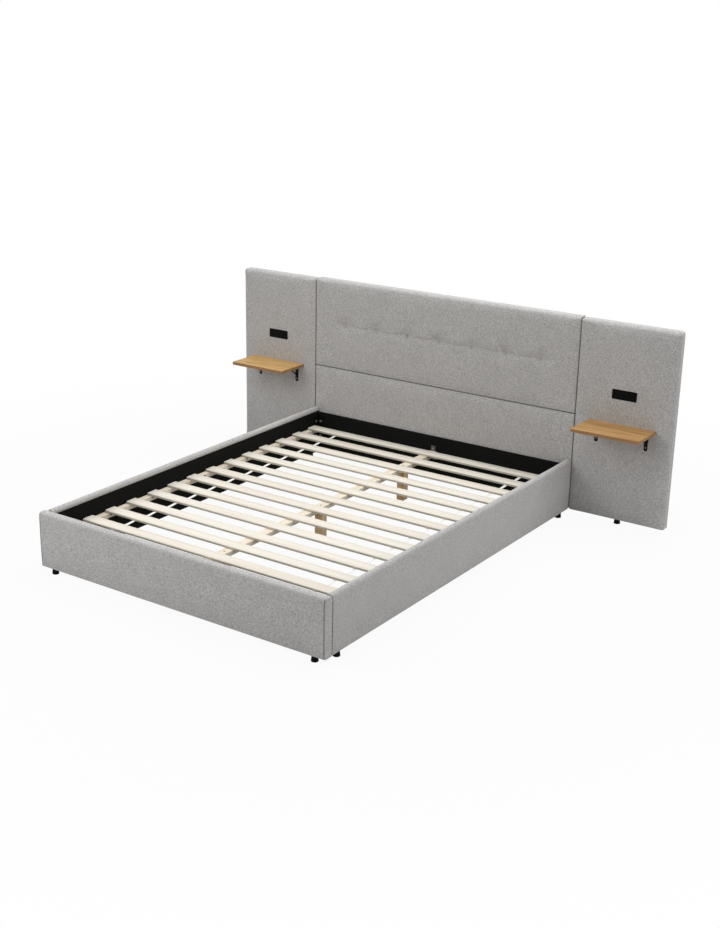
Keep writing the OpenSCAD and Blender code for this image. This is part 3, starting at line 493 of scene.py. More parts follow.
def edge_share(place, length, radii):
    """Share of the edge's rounding that is left at a place, 0 at the very edge, and that edge's radius."""
    inward, radius = (place, radii[0]) if place < length / 2 else (length - place, radii[1])
    return (1.0 if inward >= radius else math.sqrt(max(0.0, 1 - (1 - inward / radius) ** 2))), radius


def swell(place, length):
    return 1 - abs(2 * place / length - 1) ** 4


def nearest_tuft(goods, x):
    """Places of the tuft nearest to x and of the last one, from the middle."""
    last = (goods.tuft_count - 1) / 2
    return goods.tuft_pitch * min(max(round(x / goods.tuft_pitch), -last), last), last * goods.tuft_pitch


def tuft_dip(goods, x, z):
    """Depth of the sewn line, its tufts and their upright creases at x from the middle, z from the line."""
    near, last = nearest_tuft(goods, x)
    line_end, line_tight = 0.09, 0.035
    line_reach, tuft_reach, crease_reach = (0.01, 0.013, 0.055) if z > 0 else (0.03, 0.007, 0.02)
    tuft_stretch, crease_width = 0.75, 0.007
    line = 1 - min(max(abs(x) - last, 0) / line_end, 1)
    dx = x - near
    tight = 0.5 + 0.5 * math.exp(-abs(dx) / line_tight)
    return (goods.pull_depth * line * line * tight * math.exp(-abs(z) / line_reach)
        + goods.tuft_depth * math.exp(-math.hypot(dx * tuft_stretch, z) / tuft_reach)
        + goods.crease_depth * math.exp(-abs(dx) / crease_width) * math.exp(-abs(z) / crease_reach))


def sewn_down(goods, x, z):
    """True where the cover is sewn: along the line between the last tufts and close round each tuft."""
    near, last = nearest_tuft(goods, x)
    return (abs(x) < last + 0.01 and abs(z) < 0.001) or math.hypot(x - near, z) < 0.006


def front_point(goods, low, high, radii, x, z, tufted):
    """Point of a panel's front, x from its left edge and z from its foot."""
    width, height = high[0] - low[0], high[2] - low[2]
    share_x, radius_x = edge_share(x, width, radii[:2])
    share_z, radius_z = edge_share(z, height, radii[2:])
    crown = goods.crown * (1 - swell(x, width) * swell(z, height))
    depth = high[1] - low[1] - crown - radius_x * (1 - share_x) - radius_z * (1 - share_z) * share_x
    middle = (low[0] + high[0]) / 2
    dip = tuft_dip(goods, low[0] + x - middle, low[2] + z - goods.tuft_height) if tufted else 0.0
    at = Vector((low[0] + x, high[1] - depth + dip, low[2] + z))
    broad, fine = 9, 23
    uneven = (noise.noise(Vector((at.x * broad, 3.1, at.z * broad)))
        + 0.5 * noise.noise(Vector((at.x * fine, 7.7, at.z * fine))))
    at.y += goods.waviness * (share_x * share_z) * (1 + uneven)
    if dip > 0.001:
        at.y = min(at.y, low[1] + goods.deepest)
    # outline corners turned from square to round
    corner = goods.corner_radius if min(radius_x, radius_z) > goods.seam_radius else goods.seam_radius / 2
    a = corner - min(x, width - x)
    b = corner - min(z, height - z)
    if a > 0 and b > 0:
        squeeze = 1 - max(a, b) / math.hypot(a, b)
        at.x += a * squeeze * (1 if x < width / 2 else -1)
        at.z += b * squeeze * (1 if z < height / 2 else -1)
    return at


def add_sides(points, faces, held, rim, low, high):
    """Adds a panel's sides in rows behind the rim of its front, and one face that closes the back.
    The sides draw in a little between front and back, and are held."""
    rows, draw_in, at_edge = 5, 0.0006, 0.001
    centre = Vector(((low[0] + high[0]) / 2, 0, (low[2] + high[2]) / 2))
    held += rim
    before = rim
    for row in range(1, rows + 1):
        ring = []
        for k in rim:
            start = points[k]
            at = Vector((start.x, start.y + (high[1] - start.y) * row / rows, start.z))
            pull = draw_in * math.sin(math.pi * row / rows)
            inward = centre - at
            if min(start.x - low[0], high[0] - start.x) < at_edge:
                at.x += math.copysign(pull, inward.x)
            if min(start.z - low[2], high[2] - start.z) < at_edge:
                at.z += math.copysign(pull, inward.z)
            points.append(at)
            ring.append(len(points) - 1)
        held += ring
        for k in range(len(rim)):
            m = (k + 1) % len(rim)
            faces.append((before[m], before[k], ring[k], ring[m]))
        before = ring
    faces.append(tuple(reversed(before)))


def panel_sheet(goods, low, high, radii, tufted, step):
    """Front and sides of a padded panel as one open sheet, closed by a single back face.
    radii are those of the left, right, lower and upper edge. Returns points, faces and held points."""
    width, height = high[0] - low[0], high[2] - low[2]
    across = upward = ()
    if tufted:
        first = width / 2 - goods.tuft_pitch * (goods.tuft_count - 1) / 2
        across = [first + goods.tuft_pitch * i + d for i in range(goods.tuft_count) for d in TUFT_ROWS]
        upward = [goods.tuft_height - low[2] + d for d in PULL_ROWS]
    xs, zs = stations(width, radii[:2], step, across), stations(height, radii[2:], step, upward)
    points = [front_point(goods, low, high, radii, x, z, tufted) for z in zs for x in xs]
    middle = (low[0] + high[0]) / 2
    held = [k for k, at in enumerate(points)
        if tufted and sewn_down(goods, at.x - middle, at.z - goods.tuft_height)]
    nx, nz = len(xs), len(zs)
    faces = [(k, k + 1, k + nx + 1, k + nx) for j in range(nz - 1) for k in range(j * nx, j * nx + nx - 1)]
    # the rim runs along the foot, up the right edge, back along the top and down the left edge
    rim = [*range(nx), *(j * nx + nx - 1 for j in range(1, nz)),
        *((nz - 1) * nx + i for i in range(nx - 2, -1, -1)), *(j * nx for j in range(nz - 2, 0, -1))]
    add_sides(points, faces, held, rim, low, high)
    return points, faces, held


def settle_cloth(mesh, held, pressure, excess, most):
    """Lets the cover swell under pressure with its held points fixed, and caps how far each point moves."""
    holder = temporary(mesh)
    group = holder.vertex_groups.new(name="held")
    group.add(held, 1.0, "REPLACE")
    cloth = holder.modifiers.new("Cloth", "CLOTH")
    for key, value in {"quality": 5, "mass": 0.3, "tension_stiffness": 12, "compression_stiffness": 12,
            "shear_stiffness": 4, "bending_stiffness": 0.6, "vertex_group_mass": "held",
            "shrink_min": -excess, "use_pressure": True, "uniform_pressure_force": pressure}.items():
        setattr(cloth.settings, key, value)
    cloth.settings.effector_weights.gravity = 0
    cloth.collision_settings.use_collision = False
    cloth.point_cache.frame_start = 1
    cloth.point_cache.frame_end = CLOTH_FRAMES
    scene = bpy.context.scene
    for step in range(1, CLOTH_FRAMES + 1):
        scene.frame_set(step)
    graph = bpy.context.evaluated_depsgraph_get()
    settled = holder.evaluated_get(graph).data
    for vertex, moved in zip(mesh.vertices, settled.vertices):
        shift = moved.co - vertex.co
        if shift.length > most:
            shift *= most / shift.length
        vertex.co += shift
    holder.modifiers.remove(cloth)
    bpy.data.objects.remove(holder)
    scene.frame_set(1)


def kept_between(at, low, high):
    """A place moved into the range from low to high."""
    return min(max(at, low), high)


def tray_back(mesh, low, high, board_low, side):
    """Folds the open rim of the cover's back round the panel's board and closes it in front of the board."""
    bm = bmesh.new()
    bm.from_mesh(mesh)
    rim = [e for e in bm.edges if e.is_boundary]
    for depth in (high[1], board_low):
        made = bmesh.ops.extrude_edge_only(bm, edges=rim)["geom"]
        folded = [v for v in made if isinstance(v, bmesh.types.BMVert)]
        for v in folded:
            v.co = (kept_between(v.co.x, low[0] + side, high[0] - side), depth,
                kept_between(v.co.z, low[2] + side, high[2] - side))
        bmesh.ops.remove_doubles(bm, verts=folded, dist=1e-6)
        rim = [e for e in bm.edges if e.is_boundary]
    bmesh.ops.contextual_create(bm, geom=rim)
    bmesh.ops.recalc_face_normals(bm, faces=bm.faces)
    bm.to_mesh(mesh)
    bm.free()


def open_back(mesh):
    """Takes out the one large face that closes the sheet's back."""
    bm = bmesh.new()
    bm.from_mesh(mesh)
    bmesh.ops.delete(bm, geom=[max(bm.faces, key=lambda f: len(f.verts))], context="FACES_ONLY")
    bm.to_mesh(mesh)
    bm.free()


def cut_through(name, mesh, low, high, cut):
    """The mesh with an opening cut right through it from front to back; cut holds its two corners."""
    overhang, radius = 0.02, 0.0004
    bm = bmesh.new()
    (left, _, foot), (right, _, top) = cut
    plank(bm, (left, low[1] - overhang, foot), (right, high[1] + overhang, top), radius, 1)
    cutter = temporary(bm_to_mesh("cut-out", bm))
    holder = temporary(mesh)
    hole = holder.modifiers.new("Cut-out", "BOOLEAN")
    hole.operation = "DIFFERENCE"
    hole.solver = "EXACT"
    hole.object = cutter
    mesh = applied(holder, name)
    bpy.data.objects.remove(cutter)
    return mesh


def show_cover(name, mesh, node):
    """Shows a padded cover in the bed's cloth."""
    piece = show_piece(name, mesh, material("cloth"), [node])


def panel_cover(name, panel, outer, seams, tufted=False, cut=None):
    """One padded panel cover: sheet, cloth, one subdivision, tray back and the socket's cut-out.
    outer names the edges that lie on the headboard's outline, seams those that meet another panel."""
    goods = bpy.context.scene.bed_soft_goods
    low, high = back_low, back_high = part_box(panel + "_pad")
    board_low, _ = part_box(panel + "_board")
    inset = goods.seam_inset
    low = [low[0] + inset * ("left" in seams), low[1], low[2] + inset * ("low" in seams)]
    high = [high[0] - inset * ("right" in seams), high[1], high[2] - inset * ("top" in seams)]
    edges = ("left", "right", "low", "top")
    radii = [goods.edge_radius if edge in outer else goods.seam_radius for edge in edges]
    points, faces, held = panel_sheet(goods, low, high, radii, tufted, goods.weave_step)
    mesh = mesh_from(name, points, faces)
    settle_cloth(mesh, held, pressure=2.0, excess=0.004, most=0.003)
    open_back(mesh)
    holder = temporary(mesh)
    smooth = holder.modifiers.new("Smooth", "SUBSURF")
    smooth.levels = smooth.render_levels = 1
    mesh = applied(holder, name)
    front = low[1] - FRONT_ROOM
    for vertex in mesh.vertices:
        # nothing stands outside the space that the CAD gives the panel, apart from the room in front
        vertex.co = (kept_between(vertex.co.x, low[0], high[0]), kept_between(vertex.co.y, front, high[1]),
            kept_between(vertex.co.z, low[2], high[2]))
    tray_back(mesh, back_low, back_high, board_low[1], board_low[0] - back_low[0])
    if cut:
        mesh = cut_through(name, mesh, low, high, cut)
    for polygon in mesh.polygons:
        polygon.use_smooth = polygon.center.y < board_low[1] - 0.0002 or len(polygon.vertices) == 4
    show_cover(name, mesh, panel + "_pad")


class BED_OT_headboard_panels(bpy.types.Operator):
    """Makes the four padded covers of the headboard"""

    bl_idname = "bed.headboard_panels"
    bl_label = "Headboard panels"

    def execute(self, context):
        panel_cover("tufted_panel_cover", "upper_panel", ("top",), ("left", "right", "low"), tufted=True)
        panel_cover("plain_panel_cover", "lower_panel", (), ("left", "right", "top"))
        gap = 0.0003
        for side, inner in (("left", "right"), ("right", "left")):
            box_low, box_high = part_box(side + "_socket_box")
            cut = [[at - gap for at in box_low], [at + gap for at in box_high]]
            panel_cover(side + "_wing_cover", side + "_wing", (side, "top"), (inner,), cut=cut)
        return {"FINISHED"}


# ---------- padded rails and footboard ----------

# rounding of a cover's upper and lower long edges, and how far its face bulges at half its height
TOP_RADIUS, FOOT_RADIUS, FACE_CROWN = 0.014, 0.0012, 0.002
TOP_STEPS, FACE_STEPS, FOOT_STEPS = 7, 14, 4
# length of the wrapped ends, height of the band under the top that swells upwards, gap at the footboard
END_WRAP, TOP_BAND, RAIL_GAP = 0.012, 0.012, 0.0055

def padded_profile(thick, height):
    """Half-closed outline of a padded board from its inner top to its inner foot, as (out, up) pairs."""
    top, foot, outline = TOP_RADIUS, FOOT_RADIUS, []

    def arc(cx, cz, r, start, end, count):
        for i in range(count + 1):
            angle = math.radians(start + (end - start) * i / count)
            outline.append((cx + r * math.cos(angle), cz + r * math.sin(angle)))

    arc(top, height - top, top, 180, 90, TOP_STEPS)
    arc(thick - top, height - top, top, 90, 0, TOP_STEPS)
    for i in range(1, FACE_STEPS):
        outline.append((thick, height - top + (foot - height + top) * i / FACE_STEPS))
    arc(thick - foot, foot, foot, 0, -90, FOOT_STEPS)
    arc(foot, foot, foot, -90, -180, FOOT_STEPS)
    return [(x - FACE_CROWN * (2 * z / height - 1) ** 2 * (x / thick), z) for x, z in outline]


def cover_wave(goods, at, out):
    """Small unevenness of the foam, pressed outwards along out."""
    wave = noise.noise(at * 7) + 0.45 * noise.noise(at * 19 + Vector((5, 5, 5)))
    return out * goods.waviness * 0.8 * (wave - 0.6)


def foam_push(p, thick, height):
    """Shares of the foam's unevenness that push outwards and upwards at a point of the profile."""
    return min(1.0, max(0.0, p[0] / thick * 2 - 1)), 1.0 if p[1] > height - TOP_BAND else 0.0


def swept_cover(name, outline, places, put):
    """Sweeps a closed outline over the places. put(place, number, point) gives a point in the bed's frame."""
    points = [put(place, k, p) for place in places for k, p in enumerate(outline)]
    n = len(outline)
    faces = []
    for row in range(len(places) - 1):
        for k in range(n):
            m = (k + 1) % n
            faces.append((row * n + k, row * n + m, (row + 1) * n + m, (row + 1) * n + k))
    faces.append(tuple(range(n)))
    faces.append(tuple((len(places) - 1) * n + k for k in reversed(range(n))))
    mesh = mesh_from(name, points, faces)
    face_outwards(mesh)
    for polygon in mesh.polygons:
        polygon.use_smooth = len(polygon.vertices) == 4
    return mesh


def rounding(inward, radius):
    """How far a rounded edge has drawn back at a distance inward from its end."""
    return 0.0 if inward >= radius else radius - math.sqrt(max(0.0, radius ** 2 - (radius - inward) ** 2))


def end_places(length, count):
    """Places along a cover: very close at both ends, where the cloth is wrapped and sewn, even between."""
    near = (0, 0.0004, 0.0012, 0.0024, 0.0034, 0.0042, 0.005, 0.0058, 0.0066, 0.0076, 0.0095, END_WRAP)
    last = near[-1]
    even = (last + (length - 2 * last) * i / count for i in range(1, count))
    return [*near, *even, *(length - e for e in reversed(near))]


def top_share(z, height):
    """1 at the top of a cover and 0 from 30 mm below it."""
    return max(0.0, 1 - (height - z) / 0.03)


def rail_cover(side):
    """A side rail's cover: the cloth runs over the foam, a little way down the inside and under the board."""
    goods = bpy.context.scene.bed_soft_goods
    sign = SIDES[side]
    node = side + "_rail_upholstery"
    board_low, board_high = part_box(side + "_rail_board")
    lining_low, lining_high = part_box(side + "_rail_lining")
    low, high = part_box(node)
    thick, height, base = high[0] - low[0], high[2] - low[2], low[2]
    inner = low[0] if sign > 0 else -high[0]
    start, end = (at - inner for at in sorted((abs(board_low[0]), abs(board_high[0]))))
    outer = padded_profile(thick, height)
    lining_foot, lining_top = lining_low[2] - base, lining_high[2] - base
    board_foot, board_top = board_low[2] - base, board_high[2] - base
    outline = outer + [(0, lining_foot), (start, lining_foot), (start, board_foot), (end, board_foot),
        (end, board_top), (start, board_top), (start, lining_top), (0, lining_top)]
    soft = len(outer) - FOOT_STEPS - 1
    length = high[1] - low[1] - RAIL_GAP

    def put(along, number, p):
        to_end = min(along, length - along)
        end_radius = goods.edge_radius if along > length / 2 else goods.seam_radius
        back = rounding(to_end, goods.seam_radius) if number < len(outer) else 0.0
        drop = rounding(to_end, end_radius) if number < soft else 0.0
        at = Vector((sign * (inner + p[0] - back * p[0] / thick), low[1] + RAIL_GAP + along,
            base + p[1] - drop * top_share(p[1], height)))
        if 2 < number < soft and to_end > END_WRAP:
            out, up = foam_push(p, thick, height)
            at += cover_wave(goods, at, Vector((sign * out, 0, up)))
        return at

    name = side + "_rail_cover"
    show_cover(name, swept_cover(name, outline, end_places(length, 60), put), node)


def footboard_cover():
    """The footboard's cover: like the rails', with ends that are wrapped and sewn down their front edge."""
    goods = bpy.context.scene.bed_soft_goods
    low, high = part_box("footboard_upholstery")
    lining_low, lining_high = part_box("footboard_lining")
    thick, height, base = high[1] - low[1], high[2] - low[2], low[2]
    outer = padded_profile(thick, height)
    notch = lining_high[1] - lining_low[1]
    lining_foot, lining_top = lining_low[2] - base, lining_high[2] - base
    outline = outer + [(0, lining_foot), (notch, lining_foot), (notch, lining_top), (0, lining_top)]
    soft = len(outer) - FOOT_STEPS - 1
    length = high[0] - low[0]
    groove_depth, groove_place, groove_width = 0.006, 0.005, 0.0016
    front_radius, drop_radius = 0.0026, 0.004

    def put(along, number, p):
        to_end = min(along, length - along)
        groove = groove_depth * math.exp(-((to_end - groove_place) / groove_width) ** 2)
        front = rounding(to_end, front_radius) + groove
        rear = rounding(to_end, goods.seam_radius) if number < len(outer) else 0.0
        drop = rounding(to_end, drop_radius) if number < soft else 0.0
        share = p[0] / thick
        at = Vector((low[0] + along, high[1] - p[0] + front * share - rear * (1 - share),
            base + p[1] - drop * top_share(p[1], height)))
        if 2 < number < soft and to_end > END_WRAP:
            out, up = foam_push(p, thick, height)
            at += cover_wave(goods, at, Vector((0, -out, up)))
        return at

    show_cover("footboard_cover", swept_cover("footboard_cover", outline, end_places(length, 48), put),
        "footboard_upholstery")


class BED_OT_frame_covers(bpy.types.Operator):
    """Makes the padded covers of the side rails and the footboard"""

    bl_idname = "bed.frame_covers"
    bl_label = "Rail and footboard covers"

    def execute(self, context):
        for side in SIDES:
            rail_cover(side)
        footboard_cover()
        return {"FINISHED"}


class BED_OT_linings(bpy.types.Operator):
    """Finishes the black linings, the back covers, the boards inside and the black head rail"""

    bl_idname = "bed.linings"
    bl_label = "Linings and boards"

    def execute(self, context):
        finish_nodes({"footboard_lining": "lining", "left_rail_lining": "lining",
            "right_rail_lining": "lining", "back_covers": "lining"})
        finish_nodes({node: "board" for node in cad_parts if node.endswith("_board")})
        low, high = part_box("head_rail")
        bm = bmesh.new()
        plank(bm, low, high, 0.0015)
        show_piece("black_head_rail", bm_to_mesh("black_head_rail", bm), material("lining"), ["head_rail"])
        return {"FINISHED"}


# ---------- timber ----------

def new_tree(name, inputs):
    """A geometry tree with named inputs, its group input node and the identifiers of the inputs."""
    tree = bpy.data.node_groups.new(name, "GeometryNodeTree")
    tree.interface.new_socket(name="Geometry", in_out="OUTPUT", socket_type="NodeSocketGeometry")
    keys = {}
    for label, kind in inputs.items():
        socket = tree.interface.new_socket(name=label, in_out="INPUT", socket_type="NodeSocket" + kind)
        keys[label] = socket.identifier
    return tree, add(tree, "NodeGroupInput").outputs, keys


def grown(name, tree, keys, values):
    """Runs a geometry tree on an empty mesh with the given inputs and returns the plain mesh."""
    holder = temporary(bpy.data.meshes.new(name))
    nodes = holder.modifiers.new("Nodes", "NODES")
    nodes.node_group = tree
    for label, value in values.items():
        nodes[keys[label]] = value
    return applied(holder, name)


def slat_tree():
    """Slats in even places: a rounded section swept along X, repeated along Y, each with its own tone; their
    long sides take a darker material as painted shade.
    """
    tree, given, keys = new_tree("loose slats", {
        "Count": "Int", "Pitch": "Float", "Length": "Float", "Width": "Float", "Thickness": "Float",
        "Edge radius": "Float", "First place": "Vector", "Wander": "Float", "Material": "Material",
        "Shaded side material": "Material"})
    turn_most = 0.0008
    step = add(tree, "ShaderNodeCombineXYZ", {"Y": given["Pitch"]})
    line = add(tree, "GeometryNodeMeshLine", {"Count": given["Count"], "Start Location": given["First place"],
        "Offset": step}, mode="OFFSET")
    section = add(tree, "GeometryNodeCurvePrimitiveQuadrilateral",
        {"Width": given["Width"], "Height": given["Thickness"]}, mode="RECTANGLE")
    rounded = add(tree, "GeometryNodeFilletCurve", {"Curve": section, "Radius": given["Edge radius"]})
    halves = [add(tree, "ShaderNodeMath", {0: given["Length"], 1: share}, operation="MULTIPLY")
        for share in (-0.5, 0.5)]
    ends = [add(tree, "ShaderNodeCombineXYZ", {"X": half}) for half in halves]
    path = add(tree, "GeometryNodeCurvePrimitiveLine", {"Start": ends[0], "End": ends[1]})
    finer = add(tree, "GeometryNodeResampleCurve", {"Curve": path, "Count": 13})
    slat = add(tree, "GeometryNodeCurveToMesh", {"Curve": finer, "Profile Curve": rounded, "Fill Caps": True})
    back = add(tree, "ShaderNodeMath", {0: given["Wander"], 1: -1.0}, operation="MULTIPLY")
    least = add(tree, "ShaderNodeCombineXYZ", {"X": back, "Y": back})
    most = add(tree, "ShaderNodeCombineXYZ", {"X": given["Wander"], "Y": given["Wander"]})
    shift = add(tree, "FunctionNodeRandomValue", {"Min": least, "Max": most, "Seed": 7},
        data_type="FLOAT_VECTOR")
    spread = add(tree, "GeometryNodeSetPosition", {"Geometry": line, "Offset": shift})
    turn = add(tree, "FunctionNodeRandomValue",
        {"Min": (0, 0, -turn_most), "Max": (0, 0, turn_most), "Seed": 3}, data_type="FLOAT_VECTOR")
    placed = add(tree, "GeometryNodeInstanceOnPoints", {"Points": spread, "Instance": slat, "Rotation": turn})
    tone = add(tree, "FunctionNodeRandomValue", {2: -0.05, 3: 0.07, "Seed": 11}, data_type="FLOAT").outputs[1]
    toned = add(tree, "GeometryNodeStoreNamedAttribute",
        {"Geometry": placed, "Name": "slat_tone", "Value": tone}, domain="INSTANCE", data_type="FLOAT")
    solid = add(tree, "GeometryNodeRealizeInstances", {"Geometry": toned})
    painted = add(tree, "GeometryNodeSetMaterial", {"Geometry": solid, "Material": given["Material"]})
    # faces that look along Y take the darker side material: painted shade between the slats
    facing = add(tree, "ShaderNodeSeparateXYZ", {0: add(tree, "GeometryNodeInputNormal")})
    across = add(tree, "ShaderNodeMath", {0: facing.outputs["Y"]}, operation="ABSOLUTE")
    side = add(tree, "FunctionNodeCompare", {0: across, 1: 0.8}, data_type="FLOAT", operation="GREATER_THAN")
    shaded_sides = add(tree, "GeometryNodeSetMaterial", {"Geometry": painted, "Selection": side,
        "Material": given["Shaded side material"]})
    add(tree, "NodeGroupOutput", {0: shaded_sides})
    return tree, keys


class BED_OT_slats(bpy.types.Operator):
    """Lays the loose slats across the bed"""

    bl_idname = "bed.slats"
    bl_label = "Slats"

    def execute(self, context):
        timber = context.scene.bed_timber
        tree, keys = slat_tree()
        mesh = grown("loose_slats", tree, keys, {
            "Count": len(SLATS), "Pitch": SLAT_PITCH, "Length": SLAT_LENGTH - 2 * timber.slat_wander,
            "Width": SLAT_WIDTH, "Thickness": SLAT_THICKNESS, "Edge radius": timber.slat_edge,
            "First place": tuple((a + b) / 2 for a, b in zip(SLAT_LOW, SLAT_HIGH)),
            "Wander": timber.slat_wander, "Material": material("slat"),
            "Shaded side material": material("shaded slat side")})
        if not mesh.polygons:
            raise RuntimeError("the slats came out empty")
        show_piece("loose_slats", mesh, None, SLATS)
        return {"FINISHED"}


class BED_OT_ribbons(bpy.types.Operator):
    """Hangs the two ribbons under the slats"""

    bl_idname = "bed.ribbons"
    bl_label = "Ribbons"

    def execute(self, context):
        low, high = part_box("slat_ribbons")
        inset, width, thick, most_sag, under = 0.0015, 0.014, 0.0008, 0.0025, 0.0001
        free, count = SLAT_PITCH - SLAT_WIDTH, len(SLATS) * 14
        points, faces = [], []
        for x0 in (low[0] + inset, high[0] - inset - width):
            base = len(points)
            for i in range(count + 1):
                y = low[1] + (high[1] - low[1]) * i / count
                after = (y - low[1]) % SLAT_PITCH - SLAT_WIDTH
                sag = most_sag * math.sin(math.pi * after / free) ** 2 if after > 0 else 0.0
                z = high[2] - under - sag
                for dx, dz in ((0, 0), (width, 0), (width, -thick), (0, -thick)):
                    points.append((x0 + dx, y, z + dz))
            for i in range(count):
                a = base + 4 * i
                for k in range(4):
                    m = (k + 1) % 4
                    faces.append((a + k, a + m, a + 4 + m, a + 4 + k))
            faces.append((base + 3, base + 2, base + 1, base))
            end = base + 4 * count
            faces.append((end, end + 1, end + 2, end + 3))
        mesh = mesh_from("slat_ribbons_woven", points, faces, smooth=False)
        face_outwards(mesh)
        show_piece("slat_ribbons_woven", mesh, material("ribbon"), ["slat_ribbons"])
        return {"FINISHED"}


class BED_OT_timber(bpy.types.Operator):
    """Finishes the ledgers, the centre beam and its legs"""

    bl_idname = "bed.timber"
    bl_label = "Ledgers, beam and legs"

    def execute(self, context):
        finish_nodes({"left_ledger": "ledger", "right_ledger": "ledger", "centre_beam": "beam",
            "centre_legs": "leg", "leg_screws": "galvanised"})
        return {"FINISHED"}


# ---------- bedside shelves ----------

class BED_OT_shelves(bpy.types.Operator):
    """Makes the two oak shelves and finishes their brackets"""

    bl_idname = "bed.shelves"
    bl_label = "Bedside shelves"

    def execute(self, context):
        timber = context.scene.bed_timber
        for side, veneer in (("left", "pale oak"), ("right", "oak")):
            low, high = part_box(side + "_shelf")
            name = side + "_oak_shelf"
            bm = bmesh.new()
            plank(bm, low, high, timber.shelf_edge)
            mesh = bm_to_mesh(name, bm)
            show_piece(name, mesh, material(veneer), [side + "_shelf"])
            mesh.materials.append(material("oak band"))
            for polygon in mesh.polygons:
                polygon.material_index = int(abs(polygon.normal.z) < 0.3)
            finish_nodes({side + "_shelf_brackets": "black steel"})
        finish_nodes({"shelf_screws": "galvanised"})
        return {"FINISHED"}


# ---------- sockets ----------

class BED_OT_sockets(bpy.types.Operator):
    """Finishes the sockets in the wings"""

    bl_idname = "bed.sockets"
    bl_label = "Sockets"

    def execute(self, context):
        for side in SIDES:
            finish_nodes({side + "_socket_face": "plastic", side + "_socket_box": "plastic"})
        finish_nodes({"socket_circuit_boards": "circuit"})
        return {"FINISHED"}


# ---------- steel ----------

class BED_OT_hardware(bpy.types.Operator):
    """Finishes brackets, hangers, plates, bolts and screws"""

    bl_idname = "bed.hardware"
    bl_label = "Brackets, bolts and screws"

    def execute(self, context):
        finish_nodes({
            "corner_brackets": "black steel", "corner_bolts": "zinc", "head_rail_bolts": "black steel",
            "beam_hangers": "galvanised", "hanger_screws": "zinc", "ledger_screws": "black steel",
            "joining_plates": "zinc", "joining_screws": "zinc", "glide_studs": "zinc"})
        return {"FINISHED"}


class BED_OT_glides(bpy.types.Operator):
    """Finishes the plastic glides under the frame"""

    bl_idname = "bed.glides"
    bl_label = "Glides"

    def execute(self, context):
        finish_nodes({"glides": "foot"})
        return {"FINISHED"}


# ---------- stage ----------

# the photograph's size, focal length and centre in pixels, and where its camera looks in degrees
PHOTO_WIDTH, PHOTO_HEIGHT = 720, 928
PHOTO_FOCAL, PHOTO_CENTRE = 1410.5, (286.8, 489.8)
LOOK_DOWN, LOOK_LEFT = 19.906, 37.012

def seen_directly(tree):
    """1 for a ray that the camera sees, also by way of gloss or clear material, and 0 for the lighting."""
    path = add(tree, "ShaderNodeLightPath").outputs
    seen = add(tree, "ShaderNodeMath", {0: path["Is Camera Ray"], 1: path["Is Glossy Ray"]},
        operation="MAXIMUM")
    return add(tree, "ShaderNodeMath", {0: seen, 1: path["Is Transmission Ray"]}, operation="MAXIMUM")


def floor_material():
    """Plain white floor. The camera sees it as paper white, with a light shadow near the bed only."""
    material_, tree, here = start_material("white studio floor")
    away = add(tree, "ShaderNodeVectorMath", {0: here}, operation="LENGTH").outputs["Value"]
    white = add(tree, "ShaderNodeMapRange", {"Value": away, "From Min": 1.2, "From Max": 3.4,
        "To Min": 0.94, "To Max": 1.0}, interpolation_type="SMOOTHSTEP")
    share = add(tree, "ShaderNodeMath", {0: seen_directly(tree), 1: white}, operation="MULTIPLY")
    matt = add(tree, "ShaderNodeBsdfDiffuse", {"Color": (0.6, 0.6, 0.6, 1)})
    paper = add(tree, "ShaderNodeEmission", {"Color": (1, 1, 1, 1), "Strength": 1.0})
    mixed = add(tree, "ShaderNodeMixShader", {0: share, 1: matt, 2: paper})
    add(tree, "ShaderNodeOutputMaterial", {"Surface": mixed})
    return material_


def soft_box(name, place, target, size, power):
    """A large square studio lamp that points at a target."""
    lamp = bpy.data.lights.new(name, "AREA")
    lamp.shape = "SQUARE"
    lamp.size = size
    lamp.energy = power
    holder = bpy.data.objects.new(name, lamp)
    bpy.context.scene.collection.objects.link(holder)
    holder.location = place
    holder.visible_camera = False
    holder.rotation_euler = (Vector(target) - Vector(place)).to_track_quat("-Z", "Y").to_euler()


def studio_floor(size=30.0):
    """The floor, out to size on each side."""
    corners = [(-size, -size, 0), (size, -size, 0), (size, size, 0), (-size, size, 0)]
    mesh = mesh_from("studio_floor", corners, [(0, 1, 2, 3)], smooth=False)
    mesh.materials.append(floor_material())
    floor = bpy.data.objects.new("studio_floor", mesh)
    bpy.context.scene.collection.objects.link(floor)


def studio_world(strength=0.41):
    """White surroundings that light the bed at the given strength and that the camera sees as paper white."""
    world = bpy.data.worlds.new("studio")
    bpy.context.scene.world = world
    world.use_nodes = True
    tree = world.node_tree
    tree.nodes.clear()
    light, paper = (add(tree, "ShaderNodeBackground", {"Color": (1, 1, 1, 1), "Strength": power})
        for power in (strength, 1.0))
    mixed = add(tree, "ShaderNodeMixShader", {0: seen_directly(tree), 1: light, 2: paper})
    add(tree, "ShaderNodeOutputWorld", {"Surface": mixed})


def photo_camera():
    """The photograph's camera: its place, direction, focal length and centre as fitted to the bed's edges."""
    lens = bpy.data.cameras.new("photo camera")
    camera = bpy.data.objects.new("photo camera", lens)
    bpy.context.scene.collection.objects.link(camera)
    camera.location = (3.4170, CAD_BOX[0][1] - 3.7832, 2.3708)
    camera.rotation_euler = (math.radians(90 - LOOK_DOWN), 0, math.radians(LOOK_LEFT))
    lens.sensor_width = 36
    lens.lens = PHOTO_FOCAL / PHOTO_HEIGHT * 36
    lens.shift_x = (PHOTO_WIDTH / 2 - PHOTO_CENTRE[0]) / PHOTO_HEIGHT
    lens.shift_y = (PHOTO_CENTRE[1] - PHOTO_HEIGHT / 2) / PHOTO_HEIGHT
    bpy.context.scene.camera = camera


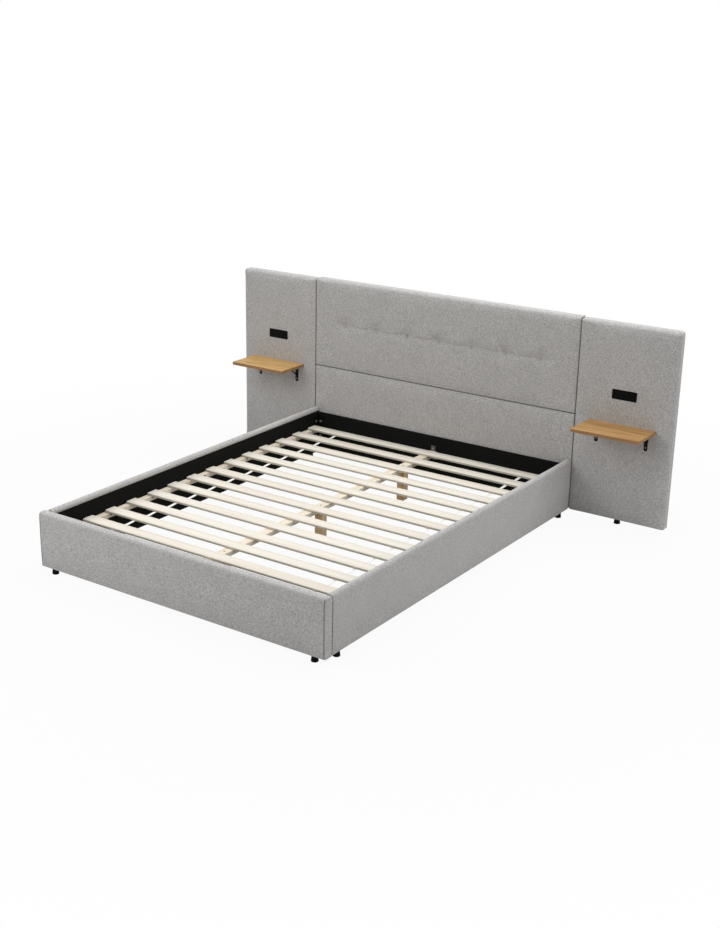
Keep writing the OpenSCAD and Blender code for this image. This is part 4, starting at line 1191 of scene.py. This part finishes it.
class BED_OT_stage(bpy.types.Operator):
    """Sets up the floor, the lamps, the world and the camera"""

    bl_idname = "bed.stage"
    bl_label = "Stage"

    def execute(self, context):
        context.scene.view_settings.view_transform = "Standard"
        studio_floor()
        studio_world()
        soft_box("overhead softbox", place=(0.5, 1.25, 4.2), target=(0, 0, 0.2), size=3.0, power=118)
        soft_box("side softbox", place=(5.3, 0.75, 2.6), target=(0, 0, 0.4), size=2.6, power=52)
        soft_box("front softbox", place=(-1.5, -2.7, 2.7), target=(0, -0.9, 0.3), size=2.4, power=60)
        photo_camera()
        return {"FINISHED"}


class BED_PT_sidebar(bpy.types.Panel):
    """Lists the bed's sizes, colours and pieces"""

    bl_label = "Bed"
    bl_idname = "BED_PT_sidebar"
    bl_space_type = "VIEW_3D"
    bl_region_type = "UI"
    bl_category = "Bed"

    def draw(self, context):
        for key in GROUPS:
            group = getattr(context.scene, key)
            box = self.layout.box()
            for setting in group.__annotations__:
                box.prop(group, setting)
        for piece in PIECES:
            self.layout.operator(piece.bl_idname)


PIECES = (BED_OT_headboard_panels, BED_OT_frame_covers, BED_OT_linings, BED_OT_slats, BED_OT_ribbons,
    BED_OT_timber, BED_OT_shelves, BED_OT_sockets, BED_OT_hardware, BED_OT_glides, BED_OT_stage)
GROUPS = {"bed_soft_goods": BedSoftGoods, "bed_timber": BedTimber, "bed_hardware": BedHardware}


def register():
    for cls in (*GROUPS.values(), *PIECES, BED_PT_sidebar):
        bpy.utils.register_class(cls)
    for key, cls in GROUPS.items():
        setattr(bpy.types.Scene, key, PointerProperty(type=cls))


def unregister():
    for key in GROUPS:
        delattr(bpy.types.Scene, key)
    for cls in reversed((*GROUPS.values(), *PIECES, BED_PT_sidebar)):
        bpy.utils.unregister_class(cls)


def main():
    register()
    bpy.ops.bed.stage()
    bpy.ops.bed.headboard_panels()
    bpy.ops.bed.frame_covers()
    bpy.ops.bed.linings()
    bpy.ops.bed.slats()
    bpy.ops.bed.ribbons()
    bpy.ops.bed.timber()
    bpy.ops.bed.shelves()
    bpy.ops.bed.sockets()
    bpy.ops.bed.hardware()
    bpy.ops.bed.glides()


if __name__ == "__main__":
    main()
